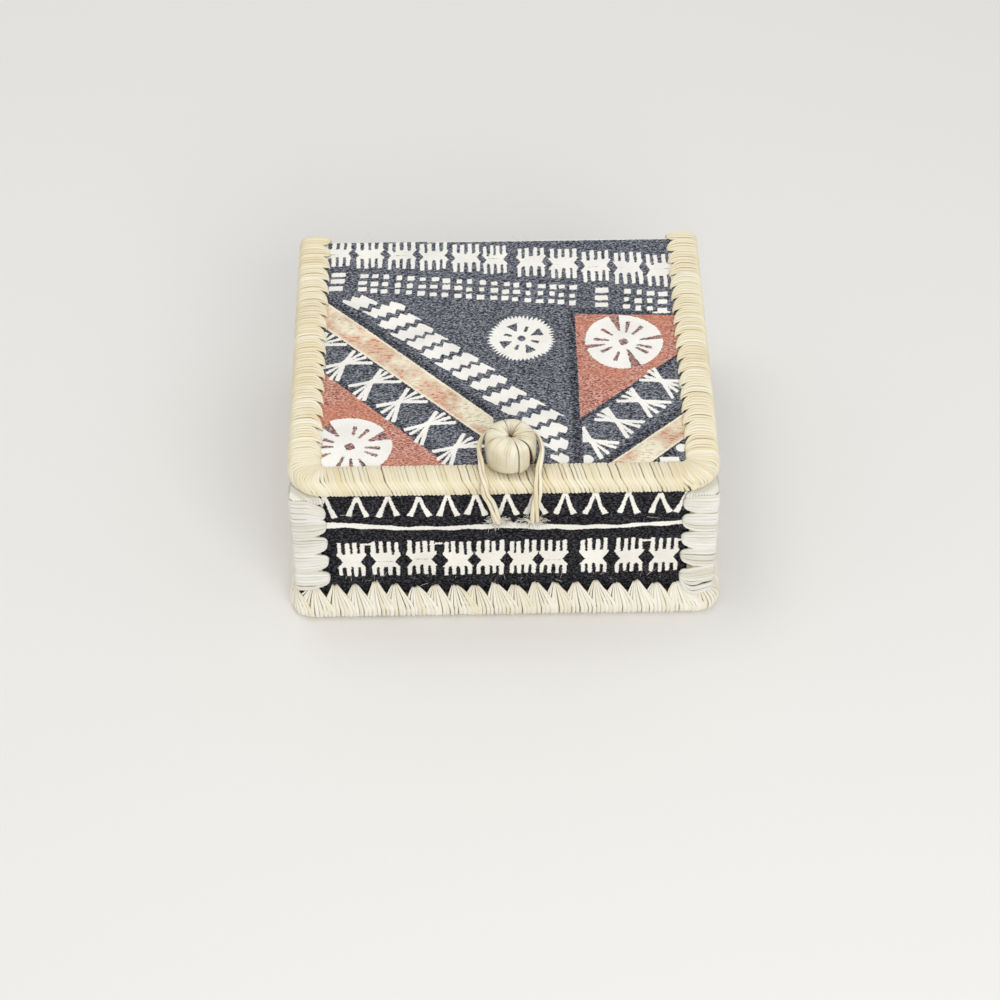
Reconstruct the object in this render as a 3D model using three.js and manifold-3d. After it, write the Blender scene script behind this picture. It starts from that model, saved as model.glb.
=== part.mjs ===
// A small trinket box of board panels covered with printed bark cloth.
// Raffia is wound over the panel edges and sews them together.
// Millimetres, +Z up. The origin is on the table under the middle of the box.
// The front, with the button and its loop, faces -Y.

import * as THREE from 'three';
import { mergeVertices } from 'three/addons/utils/BufferGeometryUtils.js';
import Module from 'manifold-3d';

const wasm = await Module();
wasm.setup();

// Driving sizes of the box
const BODY_WIDTH = 97;
const BODY_DEPTH = 86;
const HEIGHT = 43;
const BOARD = 2;
const CLOTH = 0.4;
const LINING = 0.3;
const CLEARANCE = 0.3;
const HINGE_STRIP = 1.5;

// Driving sizes of the raffia bindings
const LID_ROLL = 5;
const LID_WRAP = 1.2;
const LID_EDGE_GAP = 0.4;
const LID_SIDE_BAND = 8.1;
const LID_FRONT_BAND = 7.1;
const LID_SIDE_OVERHANG = 1.5;
const LID_FRONT_OVERHANG = 1.4;
const LID_END_BULGE = 0.6;
const LID_RIB_PITCH = 4.4;
const LID_SLANT = 1.1;
const BASE_BAND_HEIGHT = 9.1;
const BASE_BAND_UNDER = 7;
const BASE_BULGE = 3;
const BASE_LIFT = 1.2;
const BASE_NOTCH = 1.5;
const BASE_CORNER_RADIUS = 6;
const BASE_RIB_PITCH = 4.8;
const CORNER_BAND = 7.2;
const CORNER_WRAP = 1.4;
const CORNER_NOTCH = 1.1;
const CORNER_RIB_PITCH = 5.8;
const FAN_RADIUS = 1;
const FAN_STEPS = 6;

// Driving sizes of the button and its loop
const BUTTON_X = 1.6;
const BUTTON_SETBACK = 0.1;
const BUTTON_RADIUS = 5.95;
const BUTTON_HEIGHT = 8.4;
const LEAF = 0.45;
const LEAF_GAP = 0.16;
const TIE_RADIUS = 0.8;
const KNOT_RADIUS = 1.9;
const KNOT_HEIGHT = 1.5;
const LOOP_RADIUS = 0.85;
const LOOP_SPACING = 8.4;
const LOOP_HOLE_DROP = 12.4;
const LOOP_SLACK = 0.4;
const LOOP_LEFT = -1.5;
const LOOP_LEFT_LEAN = -3.5;
const LOOP_RIGHT_LEAN = 1;

// Levels of the flat sheets, from the table up
const floorClothBottom = BASE_LIFT;
const floorBoardBottom = floorClothBottom + CLOTH;
const wallBottom = floorBoardBottom + BOARD;
const liningBottom = wallBottom + LINING;
const lidTop = HEIGHT;
const lidBoardTop = lidTop - CLOTH;
const lidBoardBottom = lidBoardTop - BOARD;
const lidLiningBottom = lidBoardBottom - LINING;
const rollTop = lidTop + LID_WRAP;
const rollBottom = rollTop - LID_ROLL;
const wallTop = rollBottom - CLEARANCE;
const boardTop = wallTop - CLOTH;
const hingeTop = wallTop + HINGE_STRIP;

// Half widths of the faces, from the outside in
const clothX = BODY_WIDTH / 2;
const clothY = BODY_DEPTH / 2;
const boardX = clothX - CLOTH;
const boardY = clothY - CLOTH;
const innerBoardX = boardX - BOARD;
const innerBoardY = boardY - BOARD;
const insideX = innerBoardX - LINING;
const insideY = innerBoardY - LINING;

// Outline of the lid
const lidX = clothX + LID_SIDE_OVERHANG;
const lidFront = -clothY - LID_FRONT_OVERHANG;
const lidSheetInset = LID_WRAP + LID_EDGE_GAP;
const lidSheetX = lidX - lidSheetInset;
const lidSheetFront = lidFront + lidSheetInset;
const lidBandX = lidX - LID_SIDE_BAND;
const lidBandY = lidFront + LID_FRONT_BAND;
const lidFanX = lidBandX - FAN_RADIUS;
const lidFanY = lidBandY + FAN_RADIUS;

// Centre of the button, its tie and the two holes of the loop
const buttonY = lidBandY + BUTTON_SETBACK;
const buttonBottom = rollTop + CLEARANCE;
const buttonTop = buttonBottom + BUTTON_HEIGHT;
const tieY = lidBandY + KNOT_RADIUS + CLEARANCE;
const holeRadius = LOOP_RADIUS + LOOP_SLACK;
const holeZ = HEIGHT - LOOP_HOLE_DROP;
const loopRight = LOOP_LEFT + LOOP_SPACING;

// Finishes, one material for each mesh
const finishes = {
  board: { color: 0xb08d5e, roughness: 0.9 },
  blackCloth: { color: 0x1c1a1e, roughness: 0.95 },
  greyCloth: { color: 0x36373f, roughness: 0.95 },
  plainCloth: { color: 0xe2d3b0, roughness: 0.95 },
  cream: { color: 0xe4d6ab, roughness: 0.7 },
  pale: { color: 0xe3dfcf, roughness: 0.7 },
  leaf: { color: 0xd8ca9c, roughness: 0.65 },
  pith: { color: 0xa9713c, roughness: 0.9 },
};

const group = new THREE.Group();

function add(name, geometry, finish) {
  const material = new THREE.MeshStandardMaterial({ ...finishes[finish], metalness: 0 });
  const mesh = new THREE.Mesh(geometry, material);
  mesh.name = name;
  group.add(mesh);
  return mesh;
}

// A box between two corners
function slab(x0, x1, y0, y1, z0, z1) {
  const box = new THREE.BoxGeometry(x1 - x0, y1 - y0, z1 - z0);
  box.translate((x0 + x1) / 2, (y0 + y1) / 2, (z0 + z1) / 2);
  return box;
}

// A round peg along an axis of the frame
function peg(radius, from, to, axis) {
  const length = from.distanceTo(to);
  const sides = 12;
  const cylinder = new THREE.CylinderGeometry(radius, radius, length, sides);
  if (axis === 'z') cylinder.rotateX(Math.PI / 2);
  const middle = from.clone().add(to).multiplyScalar(0.5);
  cylinder.translate(middle.x, middle.y, middle.z);
  return cylinder;
}

function toSolid(geometry) {
  const bare = geometry.clone();
  bare.deleteAttribute('normal');
  bare.deleteAttribute('uv');
  const merged = mergeVertices(bare, 1e-5);
  const vertProperties = new Float32Array(merged.attributes.position.array);
  const triVerts = new Uint32Array(merged.index.array);
  return new wasm.Manifold(new wasm.Mesh({ numProp: 3, vertProperties, triVerts }));
}

function toGeometry(solid) {
  const mesh = solid.getMesh();
  const geometry = new THREE.BufferGeometry();
  const positions = new Float32Array(mesh.vertProperties);
  geometry.setAttribute('position', new THREE.BufferAttribute(positions, 3));
  geometry.setIndex(new THREE.BufferAttribute(new Uint32Array(mesh.triVerts), 1));
  geometry.computeVertexNormals();
  return geometry;
}

function joined(first, second) {
  return toGeometry(toSolid(first).add(toSolid(second)));
}

function pierced(geometry, cutters) {
  let solid = toSolid(geometry);
  for (const cutter of cutters) solid = solid.subtract(toSolid(cutter));
  return toGeometry(solid);
}

// Rings of points joined into one closed body, open paths capped at both ends
function ringBody(rings, closed, capPoints) {
  const count = rings[0].length;
  const positions = [];
  for (const ring of rings) {
    for (const point of ring) positions.push(point.x, point.y, point.z);
  }
  const index = [];
  const spans = closed ? rings.length : rings.length - 1;
  for (let i = 0; i < spans; i++) {
    const here = i * count;
    const next = ((i + 1) % rings.length) * count;
    for (let k = 0; k < count; k++) {
      const l = (k + 1) % count;
      index.push(here + k, here + l, next + l);
      index.push(here + k, next + l, next + k);
    }
  }
  if (!closed) {
    const last = (rings.length - 1) * count;
    const flat = capPoints.map(([a, b]) => new THREE.Vector2(a, b));
    const clockwise = THREE.ShapeUtils.isClockWise(flat);
    for (const face of THREE.ShapeUtils.triangulateShape(flat, [])) {
      const [a, b, c] = clockwise ? [...face].reverse() : face;
      index.push(c, b, a);
      index.push(last + a, last + b, last + c);
    }
  }
  const geometry = new THREE.BufferGeometry();
  geometry.setAttribute('position', new THREE.Float32BufferAttribute(positions, 3));
  geometry.setIndex(outward(positions, index));
  geometry.computeVertexNormals();
  return geometry;
}

// The faces are turned round if the body they enclose comes out negative
function outward(positions, index) {
  const corner = (i) => new THREE.Vector3().fromArray(positions, 3 * i);
  let volume = 0;
  for (let i = 0; i < index.length; i += 3) {
    const a = corner(index[i]);
    const b = corner(index[i + 1]);
    const c = corner(index[i + 2]);
    volume += a.dot(b.cross(c));
  }
  if (volume > 0) return index;
  const turned = [];
  for (let i = 0; i < index.length; i += 3) turned.push(index[i], index[i + 2], index[i + 1]);
  return turned;
}

// Floor panel
add('floor_board', slab(-boardX, boardX, -boardY, boardY, floorBoardBottom, wallBottom), 'board');
add('base_cloth', slab(-boardX, boardX, -boardY, boardY, floorClothBottom, floorBoardBottom), 'blackCloth');
const floorLining = slab(-innerBoardX, innerBoardX, -innerBoardY, innerBoardY, wallBottom, liningBottom);
add('floor_lining', floorLining, 'plainCloth');

// Holes for the two ends of the loop, through every layer of the front wall
const drillPast = 1;
const loopHoles = [LOOP_LEFT, loopRight].map((x) => peg(
  holeRadius,
  new THREE.Vector3(x, -clothY - drillPast, holeZ),
  new THREE.Vector3(x, -insideY + drillPast, holeZ),
  'y',
));

// Front and back walls run over the full width
const frontBoard = slab(-boardX, boardX, -boardY, -innerBoardY, wallBottom, boardTop);
add('front_board', pierced(frontBoard, loopHoles), 'board');
add('back_board', slab(-boardX, boardX, innerBoardY, boardY, wallBottom, boardTop), 'board');

// Side walls stand between them
add('left_board', slab(-boardX, -innerBoardX, -innerBoardY, innerBoardY, wallBottom, boardTop), 'board');
add('right_board', slab(innerBoardX, boardX, -innerBoardY, innerBoardY, wallBottom, boardTop), 'board');

// Printed cloth outside, turned in over the top edge of each wall
function wallCloth(x0, x1, y0, y1, fx0, fx1, fy0, fy1) {
  const face = slab(x0, x1, y0, y1, floorBoardBottom, wallTop);
  const fold = slab(fx0, fx1, fy0, fy1, boardTop, wallTop);
  return joined(face, fold);
}
const frontCloth = wallCloth(
  -boardX, boardX, -clothY, -boardY,
  -boardX, boardX, -clothY, -insideY,
);
add('front_cloth', pierced(frontCloth, loopHoles), 'blackCloth');
add('back_cloth', wallCloth(
  -boardX, boardX, boardY, clothY,
  -boardX, boardX, insideY, clothY,
), 'blackCloth');
add('left_cloth', wallCloth(
  -clothX, -boardX, -boardY, boardY,
  -clothX, -insideX, -insideY, insideY,
), 'blackCloth');
add('right_cloth', wallCloth(
  boardX, clothX, -boardY, boardY,
  insideX, clothX, -insideY, insideY,
), 'blackCloth');

// Plain cloth inside
const frontLining = slab(-innerBoardX, innerBoardX, -innerBoardY, -insideY, liningBottom, boardTop);
const backLining = slab(-innerBoardX, innerBoardX, insideY, innerBoardY, liningBottom, boardTop);
add('front_lining', pierced(frontLining, loopHoles), 'plainCloth');
add('back_lining', backLining, 'plainCloth');
add('left_lining', slab(-innerBoardX, -insideX, -insideY, insideY, liningBottom, boardTop), 'plainCloth');
add('right_lining', slab(insideX, innerBoardX, -insideY, insideY, liningBottom, boardTop), 'plainCloth');

// Outline of the lid sheets, rounded at the two front corners
function lidOutline(back) {
  const outline = new THREE.Shape();
  const rx = lidSheetX - lidFanX;
  const ry = lidFanY - lidSheetFront;
  outline.moveTo(-lidSheetX, back);
  outline.lineTo(-lidSheetX, lidFanY);
  for (let i = 1; i < FAN_STEPS; i++) {
    const turn = Math.PI + (i / FAN_STEPS) * Math.PI / 2;
    outline.lineTo(-lidFanX + rx * Math.cos(turn), lidFanY + ry * Math.sin(turn));
  }
  outline.lineTo(-lidFanX, lidSheetFront);
  outline.lineTo(lidFanX, lidSheetFront);
  for (let i = 1; i < FAN_STEPS; i++) {
    const turn = 1.5 * Math.PI + (i / FAN_STEPS) * Math.PI / 2;
    outline.lineTo(lidFanX + rx * Math.cos(turn), lidFanY + ry * Math.sin(turn));
  }
  outline.lineTo(lidSheetX, lidFanY);
  outline.lineTo(lidSheetX, back);
  return outline;
}

function lidSheet(back, bottom, top) {
  const sheet = new THREE.ExtrudeGeometry(lidOutline(back), {
    depth: top - bottom,
    bevelEnabled: false,
  });
  sheet.translate(0, 0, bottom);
  return sheet;
}

// The tie of the button goes down through all three lid sheets
const tieHole = [peg(
  TIE_RADIUS + CLEARANCE,
  new THREE.Vector3(BUTTON_X, tieY, lidLiningBottom - drillPast),
  new THREE.Vector3(BUTTON_X, tieY, lidTop + drillPast),
  'z',
)];
add('lid_board', pierced(lidSheet(boardY, lidBoardBottom, lidBoardTop), tieHole), 'board');
add('lid_lining', pierced(lidSheet(boardY, lidLiningBottom, lidBoardBottom), tieHole), 'plainCloth');

// The lid cloth drops over the back edge of the lid
const lidDrop = slab(-lidSheetX, lidSheetX, boardY, clothY, hingeTop, lidTop);
const lidCloth = joined(lidSheet(clothY, lidBoardTop, lidTop), lidDrop);
add('lid_cloth', pierced(lidCloth, tieHole), 'greyCloth');

// The same cloth bridges the slit at the back and is the hinge
const hingeX = lidBandX - CLEARANCE;
add('hinge_cloth', slab(-hingeX, hingeX, boardY, clothY, wallTop, hingeTop), 'greyCloth');

// Plan of the lid binding: left side, front and right side in one run
const lidBack = clothY + CLEARANCE;
const lidSideRun = lidBack - lidFanY;
const lidFrontRun = 2 * lidFanX;
const lidTurnRun = (LID_SIDE_BAND + LID_FRONT_BAND) / 2;
const lidRun = 2 * lidSideRun + lidFrontRun + 2 * lidTurnRun;

function lidTurn(centreX, from, part) {
  const turn = from + part * Math.PI / 2;
  const rx = lidX - lidFanX;
  const ry = lidFanY - lidFront;
  return {
    inner: [centreX + FAN_RADIUS * Math.cos(turn), lidFanY + FAN_RADIUS * Math.sin(turn)],
    outer: [centreX + rx * Math.cos(turn), lidFanY + ry * Math.sin(turn)],
  };
}

function lidPlan(distance) {
  let s = distance;
  if (s <= lidSideRun) return { inner: [-lidBandX, lidBack - s], outer: [-lidX, lidBack - s] };
  s -= lidSideRun;
  if (s <= lidTurnRun) return lidTurn(-lidFanX, Math.PI, s / lidTurnRun);
  s -= lidTurnRun;
  if (s <= lidFrontRun) return { inner: [-lidFanX + s, lidBandY], outer: [-lidFanX + s, lidFront] };
  s -= lidFrontRun;
  if (s <= lidTurnRun) return lidTurn(lidFanX, 1.5 * Math.PI, s / lidTurnRun);
  s -= lidTurnRun;
  return { inner: [lidBandX, lidFanY + s], outer: [lidX, lidFanY + s] };
}

function between(plan, t, z) {
  const [ix, iy] = plan.inner;
  const [ox, oy] = plan.outer;
  return new THREE.Vector3(ix + (ox - ix) * t, iy + (oy - iy) * t, z);
}

// Section of the lid binding: a slot for the lid edge inside a flattened roll.
// Each row is the share of the band width and the height, and how far the row moves
// outwards and down between two ribs, counted in wraps.
const rollMiddle = (rollTop + rollBottom) / 2;
const shoulder = 0.3 * LID_ROLL;
const lip = 0.4 * LID_WRAP;
const lidSlotRows = 4;
const lidSection = [
  [0, lidLiningBottom, 0, 0],
  [1, lidLiningBottom, 0, 0],
  [1, lidTop, 0, 0],
  [0, lidTop, 0, 0],
  [0.04, lidTop + lip, 0.4, 0.07],
  [0.36, rollTop, 0, 0.24],
  [0.74, rollTop, 0, 0.27],
  [0.95, rollMiddle + shoulder, -0.3, 0.27],
  [1, rollMiddle, -0.3, 0],
  [0.95, rollMiddle - shoulder, -0.3, 0],
  [0.74, rollBottom, 0, 0],
  [0.36, rollBottom, 0, 0],
  [0.04, lidLiningBottom - lip, 0, 0],
];

// The slot ends one wrap inside the outer face
function slotShare(plan) {
  return 1 - LID_WRAP / Math.hypot(plan.outer[0] - plan.inner[0], plan.outer[1] - plan.inner[1]);
}

// Going round the edge a turn moves along it, and the two sides of the lid mirror each other
function lidLean(distance, height) {
  const ends = Math.min(1, Math.min(distance, lidRun - distance) / LID_SIDE_BAND);
  const lastTurn = lidSideRun + lidTurnRun + lidFrontRun;
  const mirrored = THREE.MathUtils.clamp((distance - lastTurn) / lidTurnRun, 0, 1);
  const down = THREE.MathUtils.clamp((rollMiddle - height) / (LID_ROLL / 2), -1, 1);
  return LID_SLANT * down * ends * (1 - 2 * mirrored);
}

function lidRing(distance, swell) {
  const straight = lidPlan(distance);
  const hollow = (1 - swell) * LID_WRAP;
  return lidSection.map(([share, height, out, down], row) => {
    if (row < lidSlotRows) return between(straight, share * slotShare(straight), height);
    const plan = lidPlan(THREE.MathUtils.clamp(distance + lidLean(distance, height), 0, lidRun));
    const outwards = between(plan, 1, 0).sub(between(plan, 0, 0)).normalize();
    return between(plan, share, height - down * hollow).addScaledVector(outwards, out * hollow);
  });
}

// The ends of the run close the slot and are rounded behind the back edge of the lid
function lidEnd(distance, size, bulge) {
  const plan = lidPlan(distance);
  const centre = between(plan, 0.5, rollMiddle);
  return lidRing(distance, 1).map((point, row) => {
    const slotPinch = row < lidSlotRows ? 0.04 : 1;
    const across = row < lidSlotRows ? plan.inner[0] + 0.1 * (point.x - plan.inner[0]) : point.x;
    const z = centre.z + (point.z - centre.z) * slotPinch * size;
    const level = (z - rollBottom) / LID_ROLL;
    return new THREE.Vector3(centre.x + (across - centre.x) * size, point.y + bulge * level, z);
  });
}

// A rib is highest at its first step and lowest halfway to the next rib
function crest(step, steps) {
  return Math.abs(Math.cos((Math.PI * step) / steps));
}

const ribSteps = 2;
const lidSteps = ribSteps * Math.round(lidRun / LID_RIB_PITCH);
const lidRings = [lidEnd(0, 0.62, LID_END_BULGE), lidEnd(0, 0.93, 0.2 * LID_END_BULGE)];
for (let i = 0; i <= lidSteps; i++) lidRings.push(lidRing((i / lidSteps) * lidRun, crest(i, ribSteps)));
lidRings.push(lidEnd(lidRun, 0.93, 0.2 * LID_END_BULGE), lidEnd(lidRun, 0.62, LID_END_BULGE));
const lidCap = lidRings[0].map((point) => [point.x, point.z]);
add('lid_binding', ringBody(lidRings, false, lidCap), 'cream');

// Plan of the base binding: three nested outlines met by the same ray
const baseX = clothX + BASE_BULGE;
const baseY = clothY + BASE_BULGE;
const baseInX = clothX - BASE_BAND_UNDER;
const baseInY = clothY - BASE_BAND_UNDER;

function baseCorner(signX, signY, part) {
  const cx = baseInX - FAN_RADIUS;
  const cy = baseInY - FAN_RADIUS;
  const turn = part * Math.PI / 2;
  const ux = Math.cos(turn);
  const uy = Math.sin(turn);
  const toWall = (BASE_BAND_UNDER + FAN_RADIUS) / Math.max(ux, uy);
  const toSide = (BASE_BAND_UNDER + FAN_RADIUS + BASE_BULGE) / Math.max(ux, uy);
  const round = BASE_BAND_UNDER + FAN_RADIUS + BASE_BULGE - BASE_CORNER_RADIUS;
  const along = (ux + uy) * round;
  const toRim = along + Math.sqrt(along * along - 2 * round * round + BASE_CORNER_RADIUS ** 2);
  const straight = toSide * Math.min(ux, uy) < round;
  const place = (reach) => [signX * (cx + ux * reach), signY * (cy + uy * reach)];
  return { inner: place(FAN_RADIUS), wall: place(toWall), outer: place(straight ? toSide : toRim) };
}

// The four quarters are gone round in order, each straight run and then its corner
function basePlans() {
  const plans = [];
  const frontSteps = ribSteps * Math.round((2 * baseInX) / BASE_RIB_PITCH);
  const sideSteps = ribSteps * Math.round((2 * baseInY) / BASE_RIB_PITCH);
  const spanX = baseInX - FAN_RADIUS;
  const spanY = baseInY - FAN_RADIUS;
  const straightX = (sign) => {
    for (let i = 0; i < frontSteps; i++) {
      const x = -sign * (-spanX + (2 * spanX * i) / frontSteps);
      plans.push({ inner: [x, sign * baseInY], wall: [x, sign * clothY], outer: [x, sign * baseY] });
    }
  };
  const straightY = (sign) => {
    for (let i = 0; i < sideSteps; i++) {
      const y = sign * (-spanY + (2 * spanY * i) / sideSteps);
      plans.push({ inner: [sign * baseInX, y], wall: [sign * clothX, y], outer: [sign * baseX, y] });
    }
  };
  const corner = (signX, signY, from, to) => {
    for (let i = 0; i < FAN_STEPS; i++) {
      plans.push(baseCorner(signX, signY, from + ((to - from) * i) / FAN_STEPS));
    }
  };
  straightX(-1);
  corner(1, -1, 1, 0);
  straightY(1);
  corner(1, 1, 0, 1);
  straightX(1);
  corner(-1, 1, 1, 0);
  straightY(-1);
  corner(-1, -1, 0, 1);
  return plans;
}

// Section of the base binding: an L round the bottom edge, fanned below its holes.
// Shares below 0 lie under the floor and shares above 0 outside the wall.
function baseRing(plan, swell) {
  const top = BASE_BAND_HEIGHT - (1 - swell) * BASE_NOTCH;
  const full = 1 - (1 - swell) * 0.14;
  const section = [
    [-1, floorClothBottom],
    [0, floorClothBottom],
    [0, 0.99 * top],
    [0.16 * full, top],
    [0.62 * full, 0.7 * top],
    [full, 0.36 * top],
    [0.95 * full, 0.15 * top],
    [0.55, 0],
    [-0.8, 0],
    [-1, 0.3 * floorClothBottom],
  ];
  return section.map(([share, z]) => {
    const from = plan.wall;
    const to = share < 0 ? plan.inner : plan.outer;
    const t = Math.abs(share);
    return new THREE.Vector3(from[0] + (to[0] - from[0]) * t, from[1] + (to[1] - from[1]) * t, z);
  });
}
const baseRings = basePlans().map((plan, i) => baseRing(plan, crest(i, ribSteps)));
add('base_binding', ringBody(baseRings, true), 'cream');

// Corner bindings: whipped bunches stacked up each upright edge
const cornerBottom = BASE_BAND_HEIGHT + CLEARANCE;
const cornerTop = wallTop - CLEARANCE;
const bunchSteps = 4;
const cornerSteps = bunchSteps * Math.round((cornerTop - cornerBottom) / CORNER_RIB_PITCH);

function cornerSection(swell) {
  const band = CORNER_BAND - (1 - swell) * CORNER_NOTCH;
  const wrap = CORNER_WRAP * (1 - (1 - swell) * 0.28);
  const lapped = band + 0.07 * wrap;
  return [
    [-band, 0],
    [-CLOTH, 0],
    [0, -CLOTH],
    [0, -band],
    [0.35 * wrap, -lapped],
    [0.85 * wrap, -0.72 * band],
    [wrap, -0.4 * band],
    [0.92 * wrap, -0.04 * band],
    [0.6 * wrap, 0.6 * wrap],
    [-0.04 * band, 0.92 * wrap],
    [-0.4 * band, wrap],
    [-0.72 * band, 0.85 * wrap],
    [-lapped, 0.35 * wrap],
  ];
}

function cornerBinding(signX, signY) {
  const rings = [];
  for (let i = 0; i <= cornerSteps; i++) {
    const z = cornerBottom + ((cornerTop - cornerBottom) * i) / cornerSteps;
    const swell = crest(i + bunchSteps / 2, bunchSteps);
    rings.push(cornerSection(swell).map(([across, out]) => new THREE.Vector3(
      signX * (clothX + across),
      signY * (clothY + out),
      z,
    )));
  }
  return ringBody(rings, false, cornerSection(0));
}
add('front_left_binding', cornerBinding(-1, -1), 'pale');
add('front_right_binding', cornerBinding(1, -1), 'pale');
add('back_left_binding', cornerBinding(-1, 1), 'pale');
add('back_right_binding', cornerBinding(1, 1), 'pale');

// The button is a ball of pith wrapped with strips of leaf from a dimple on top.
// Each row is a share of the radius and a share of the height, from the dimple down.
const leafProfile = [
  [0.16, 0.9],
  [0.4, 0.97],
  [0.7, 1],
  [0.9, 0.93],
  [0.99, 0.74],
  [1, 0.5],
  [0.97, 0.25],
  [0.88, 0.08],
  [0.72, 0.03],
];
const leafOuter = leafProfile.map(([r, h]) => new THREE.Vector2(
  r * BUTTON_RADIUS,
  buttonBottom + h * BUTTON_HEIGHT,
));

// The inner face of a strip lies one leaf thickness inside the outer one
function insetProfile(points, depth) {
  return points.map((point, i) => {
    const before = points[Math.max(i - 1, 0)];
    const after = points[Math.min(i + 1, points.length - 1)];
    const along = after.clone().sub(before).normalize();
    return new THREE.Vector2(point.x + along.y * depth, point.y - along.x * depth);
  });
}
const leafInner = insetProfile(leafOuter, LEAF);

// Both edges of each strip in degrees, anticlockwise from the front. The right strip splits from
// its neighbour below the top, and the last number says how far its first edge draws back.
const leafStrips = [
  ['front', -66, 18],
  ['front_right', 18, 50],
  ['right', 50, 100, 18],
  ['back_right', 100, 148],
  ['back', 148, 196],
  ['back_left', 196, 244],
  ['left', 244, 294],
];
const columnDegrees = 18;

function leafStrip(from, to, split) {
  const columns = Math.max(2, Math.round((to - from) / columnDegrees));
  const rings = [];
  for (let i = 0; i <= columns; i++) {
    const share = i / columns;
    const ring = [];
    for (const [profile, order] of [[leafOuter, 1], [leafInner, -1]]) {
      const run = order > 0 ? profile : [...profile].reverse();
      for (const point of run) {
        const down = THREE.MathUtils.clamp((buttonTop - point.y) / BUTTON_HEIGHT, 0, 1);
        const gap = LEAF_GAP / Math.max(point.x, 0.1 * BUTTON_RADIUS);
        const first = THREE.MathUtils.degToRad(from + split * down - 90) + gap;
        const last = THREE.MathUtils.degToRad(to - 90) - gap;
        const turn = THREE.MathUtils.lerp(first, last, share);
        ring.push(new THREE.Vector3(
          BUTTON_X + point.x * Math.cos(turn),
          buttonY + point.x * Math.sin(turn),
          point.y,
        ));
      }
    }
    rings.push(ring);
  }
  const cap = [...leafOuter, ...[...leafInner].reverse()].map((point) => [point.x, point.y]);
  return ringBody(rings, false, cap);
}
for (const [side, from, to, split = 0] of leafStrips) {
  add(`button_leaf_${side}`, leafStrip(from, to, split), 'leaf');
}

// The core stays one clearance inside the strips
const coreSide = insetProfile(leafOuter, LEAF + CLEARANCE).slice(0, -2);
const coreProfile = [
  new THREE.Vector2(0, coreSide[0].y),
  ...coreSide,
  new THREE.Vector2(0.56 * BUTTON_RADIUS, buttonBottom),
  new THREE.Vector2(0, buttonBottom),
].reverse();
const core = new THREE.LatheGeometry(coreProfile, 20);
core.rotateX(Math.PI / 2);
core.translate(BUTTON_X, buttonY, 0);
add('button_core', core, 'pith');

// The tie holds the button to the lid, and a knot under the lid holds the tie
const tie = peg(
  TIE_RADIUS,
  new THREE.Vector3(BUTTON_X, tieY, lidLiningBottom),
  new THREE.Vector3(BUTTON_X, tieY, buttonBottom),
  'z',
);
add('button_tie', tie, 'cream');

// A knot is a flattened lump with a flat face against the sheet it pulls on
function knot() {
  const profile = [
    [0, 0],
    [0.8, 0],
    [1, 0.3],
    [0.94, 0.7],
    [0.55, 1],
    [0, 1],
  ].map(([r, h]) => new THREE.Vector2(r * KNOT_RADIUS, h * KNOT_HEIGHT));
  return new THREE.LatheGeometry(profile, 12);
}
const tieKnot = knot();
tieKnot.rotateX(-Math.PI / 2);
tieKnot.translate(BUTTON_X, tieY, lidLiningBottom);
add('button_knot', tieKnot, 'cream');

// The loop leaves one hole, goes up over the lid and round the button, and comes back
const legY = lidFront - LOOP_RADIUS - LOOP_SLACK;
const seatZ = rollTop + LOOP_RADIUS + LOOP_SLACK;
const roundRadius = BUTTON_RADIUS + LOOP_RADIUS + LOOP_SLACK;
const roundZ = buttonBottom + 0.42 * BUTTON_HEIGHT;
const roundRise = 0.08 * BUTTON_HEIGHT;

function loopLeg(sign, holeX, lean) {
  return [
    [holeX, -insideY - CLEARANCE, holeZ],
    [holeX, -boardY + LOOP_SLACK, holeZ],
    [holeX, -clothY - LOOP_RADIUS, holeZ + 0.4 * LOOP_RADIUS],
    [holeX + 0.15 * lean, legY + 0.4 * LOOP_RADIUS, holeZ + 3.8 * LOOP_RADIUS],
    [holeX + 0.45 * lean, legY, rollBottom],
    [holeX + 0.72 * lean, legY, rollMiddle],
    [holeX + 0.85 * lean, lidFront, seatZ - LOOP_RADIUS],
    [holeX + lean, lidFront + 0.37 * LID_FRONT_BAND, seatZ + 0.5 * LOOP_RADIUS],
    [BUTTON_X + 0.94 * sign * roundRadius, buttonY - 0.52 * BUTTON_RADIUS, roundZ - LOOP_RADIUS],
  ];
}

// Half a turn round the back of the button
const behind = [-90, -60, -30, 0, 30, 60, 90].map((degrees) => {
  const turn = THREE.MathUtils.degToRad(degrees);
  return [
    BUTTON_X + roundRadius * Math.sin(turn),
    buttonY + roundRadius * Math.cos(turn),
    roundZ + roundRise * Math.cos(turn),
  ];
});
const loopPoints = [
  ...loopLeg(-1, LOOP_LEFT, LOOP_LEFT_LEAN),
  ...behind,
  ...loopLeg(1, loopRight, LOOP_RIGHT_LEAN).reverse(),
];
const loopPath = new THREE.CatmullRomCurve3(
  loopPoints.map(([x, y, z]) => new THREE.Vector3(x, y, z)),
  false,
  'centripetal',
);
const loopSides = 8;
const loopSection = new THREE.Shape();
for (let i = 0; i < loopSides; i++) {
  const turn = (i / loopSides) * 2 * Math.PI;
  const point = [LOOP_RADIUS * Math.cos(turn), LOOP_RADIUS * Math.sin(turn)];
  if (i === 0) loopSection.moveTo(...point);
  else loopSection.lineTo(...point);
}
const loop = new THREE.ExtrudeGeometry(loopSection, {
  steps: 48,
  extrudePath: loopPath,
  bevelEnabled: false,
});
add('loop', loop, 'leaf');

// Two knots inside the front wall keep the ends of the loop from pulling out
for (const [side, x] of [['left', LOOP_LEFT], ['right', loopRight]]) {
  const end = knot();
  end.translate(x, -insideY, holeZ);
  add(`loop_knot_${side}`, end, 'leaf');
}

export default group;
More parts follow.
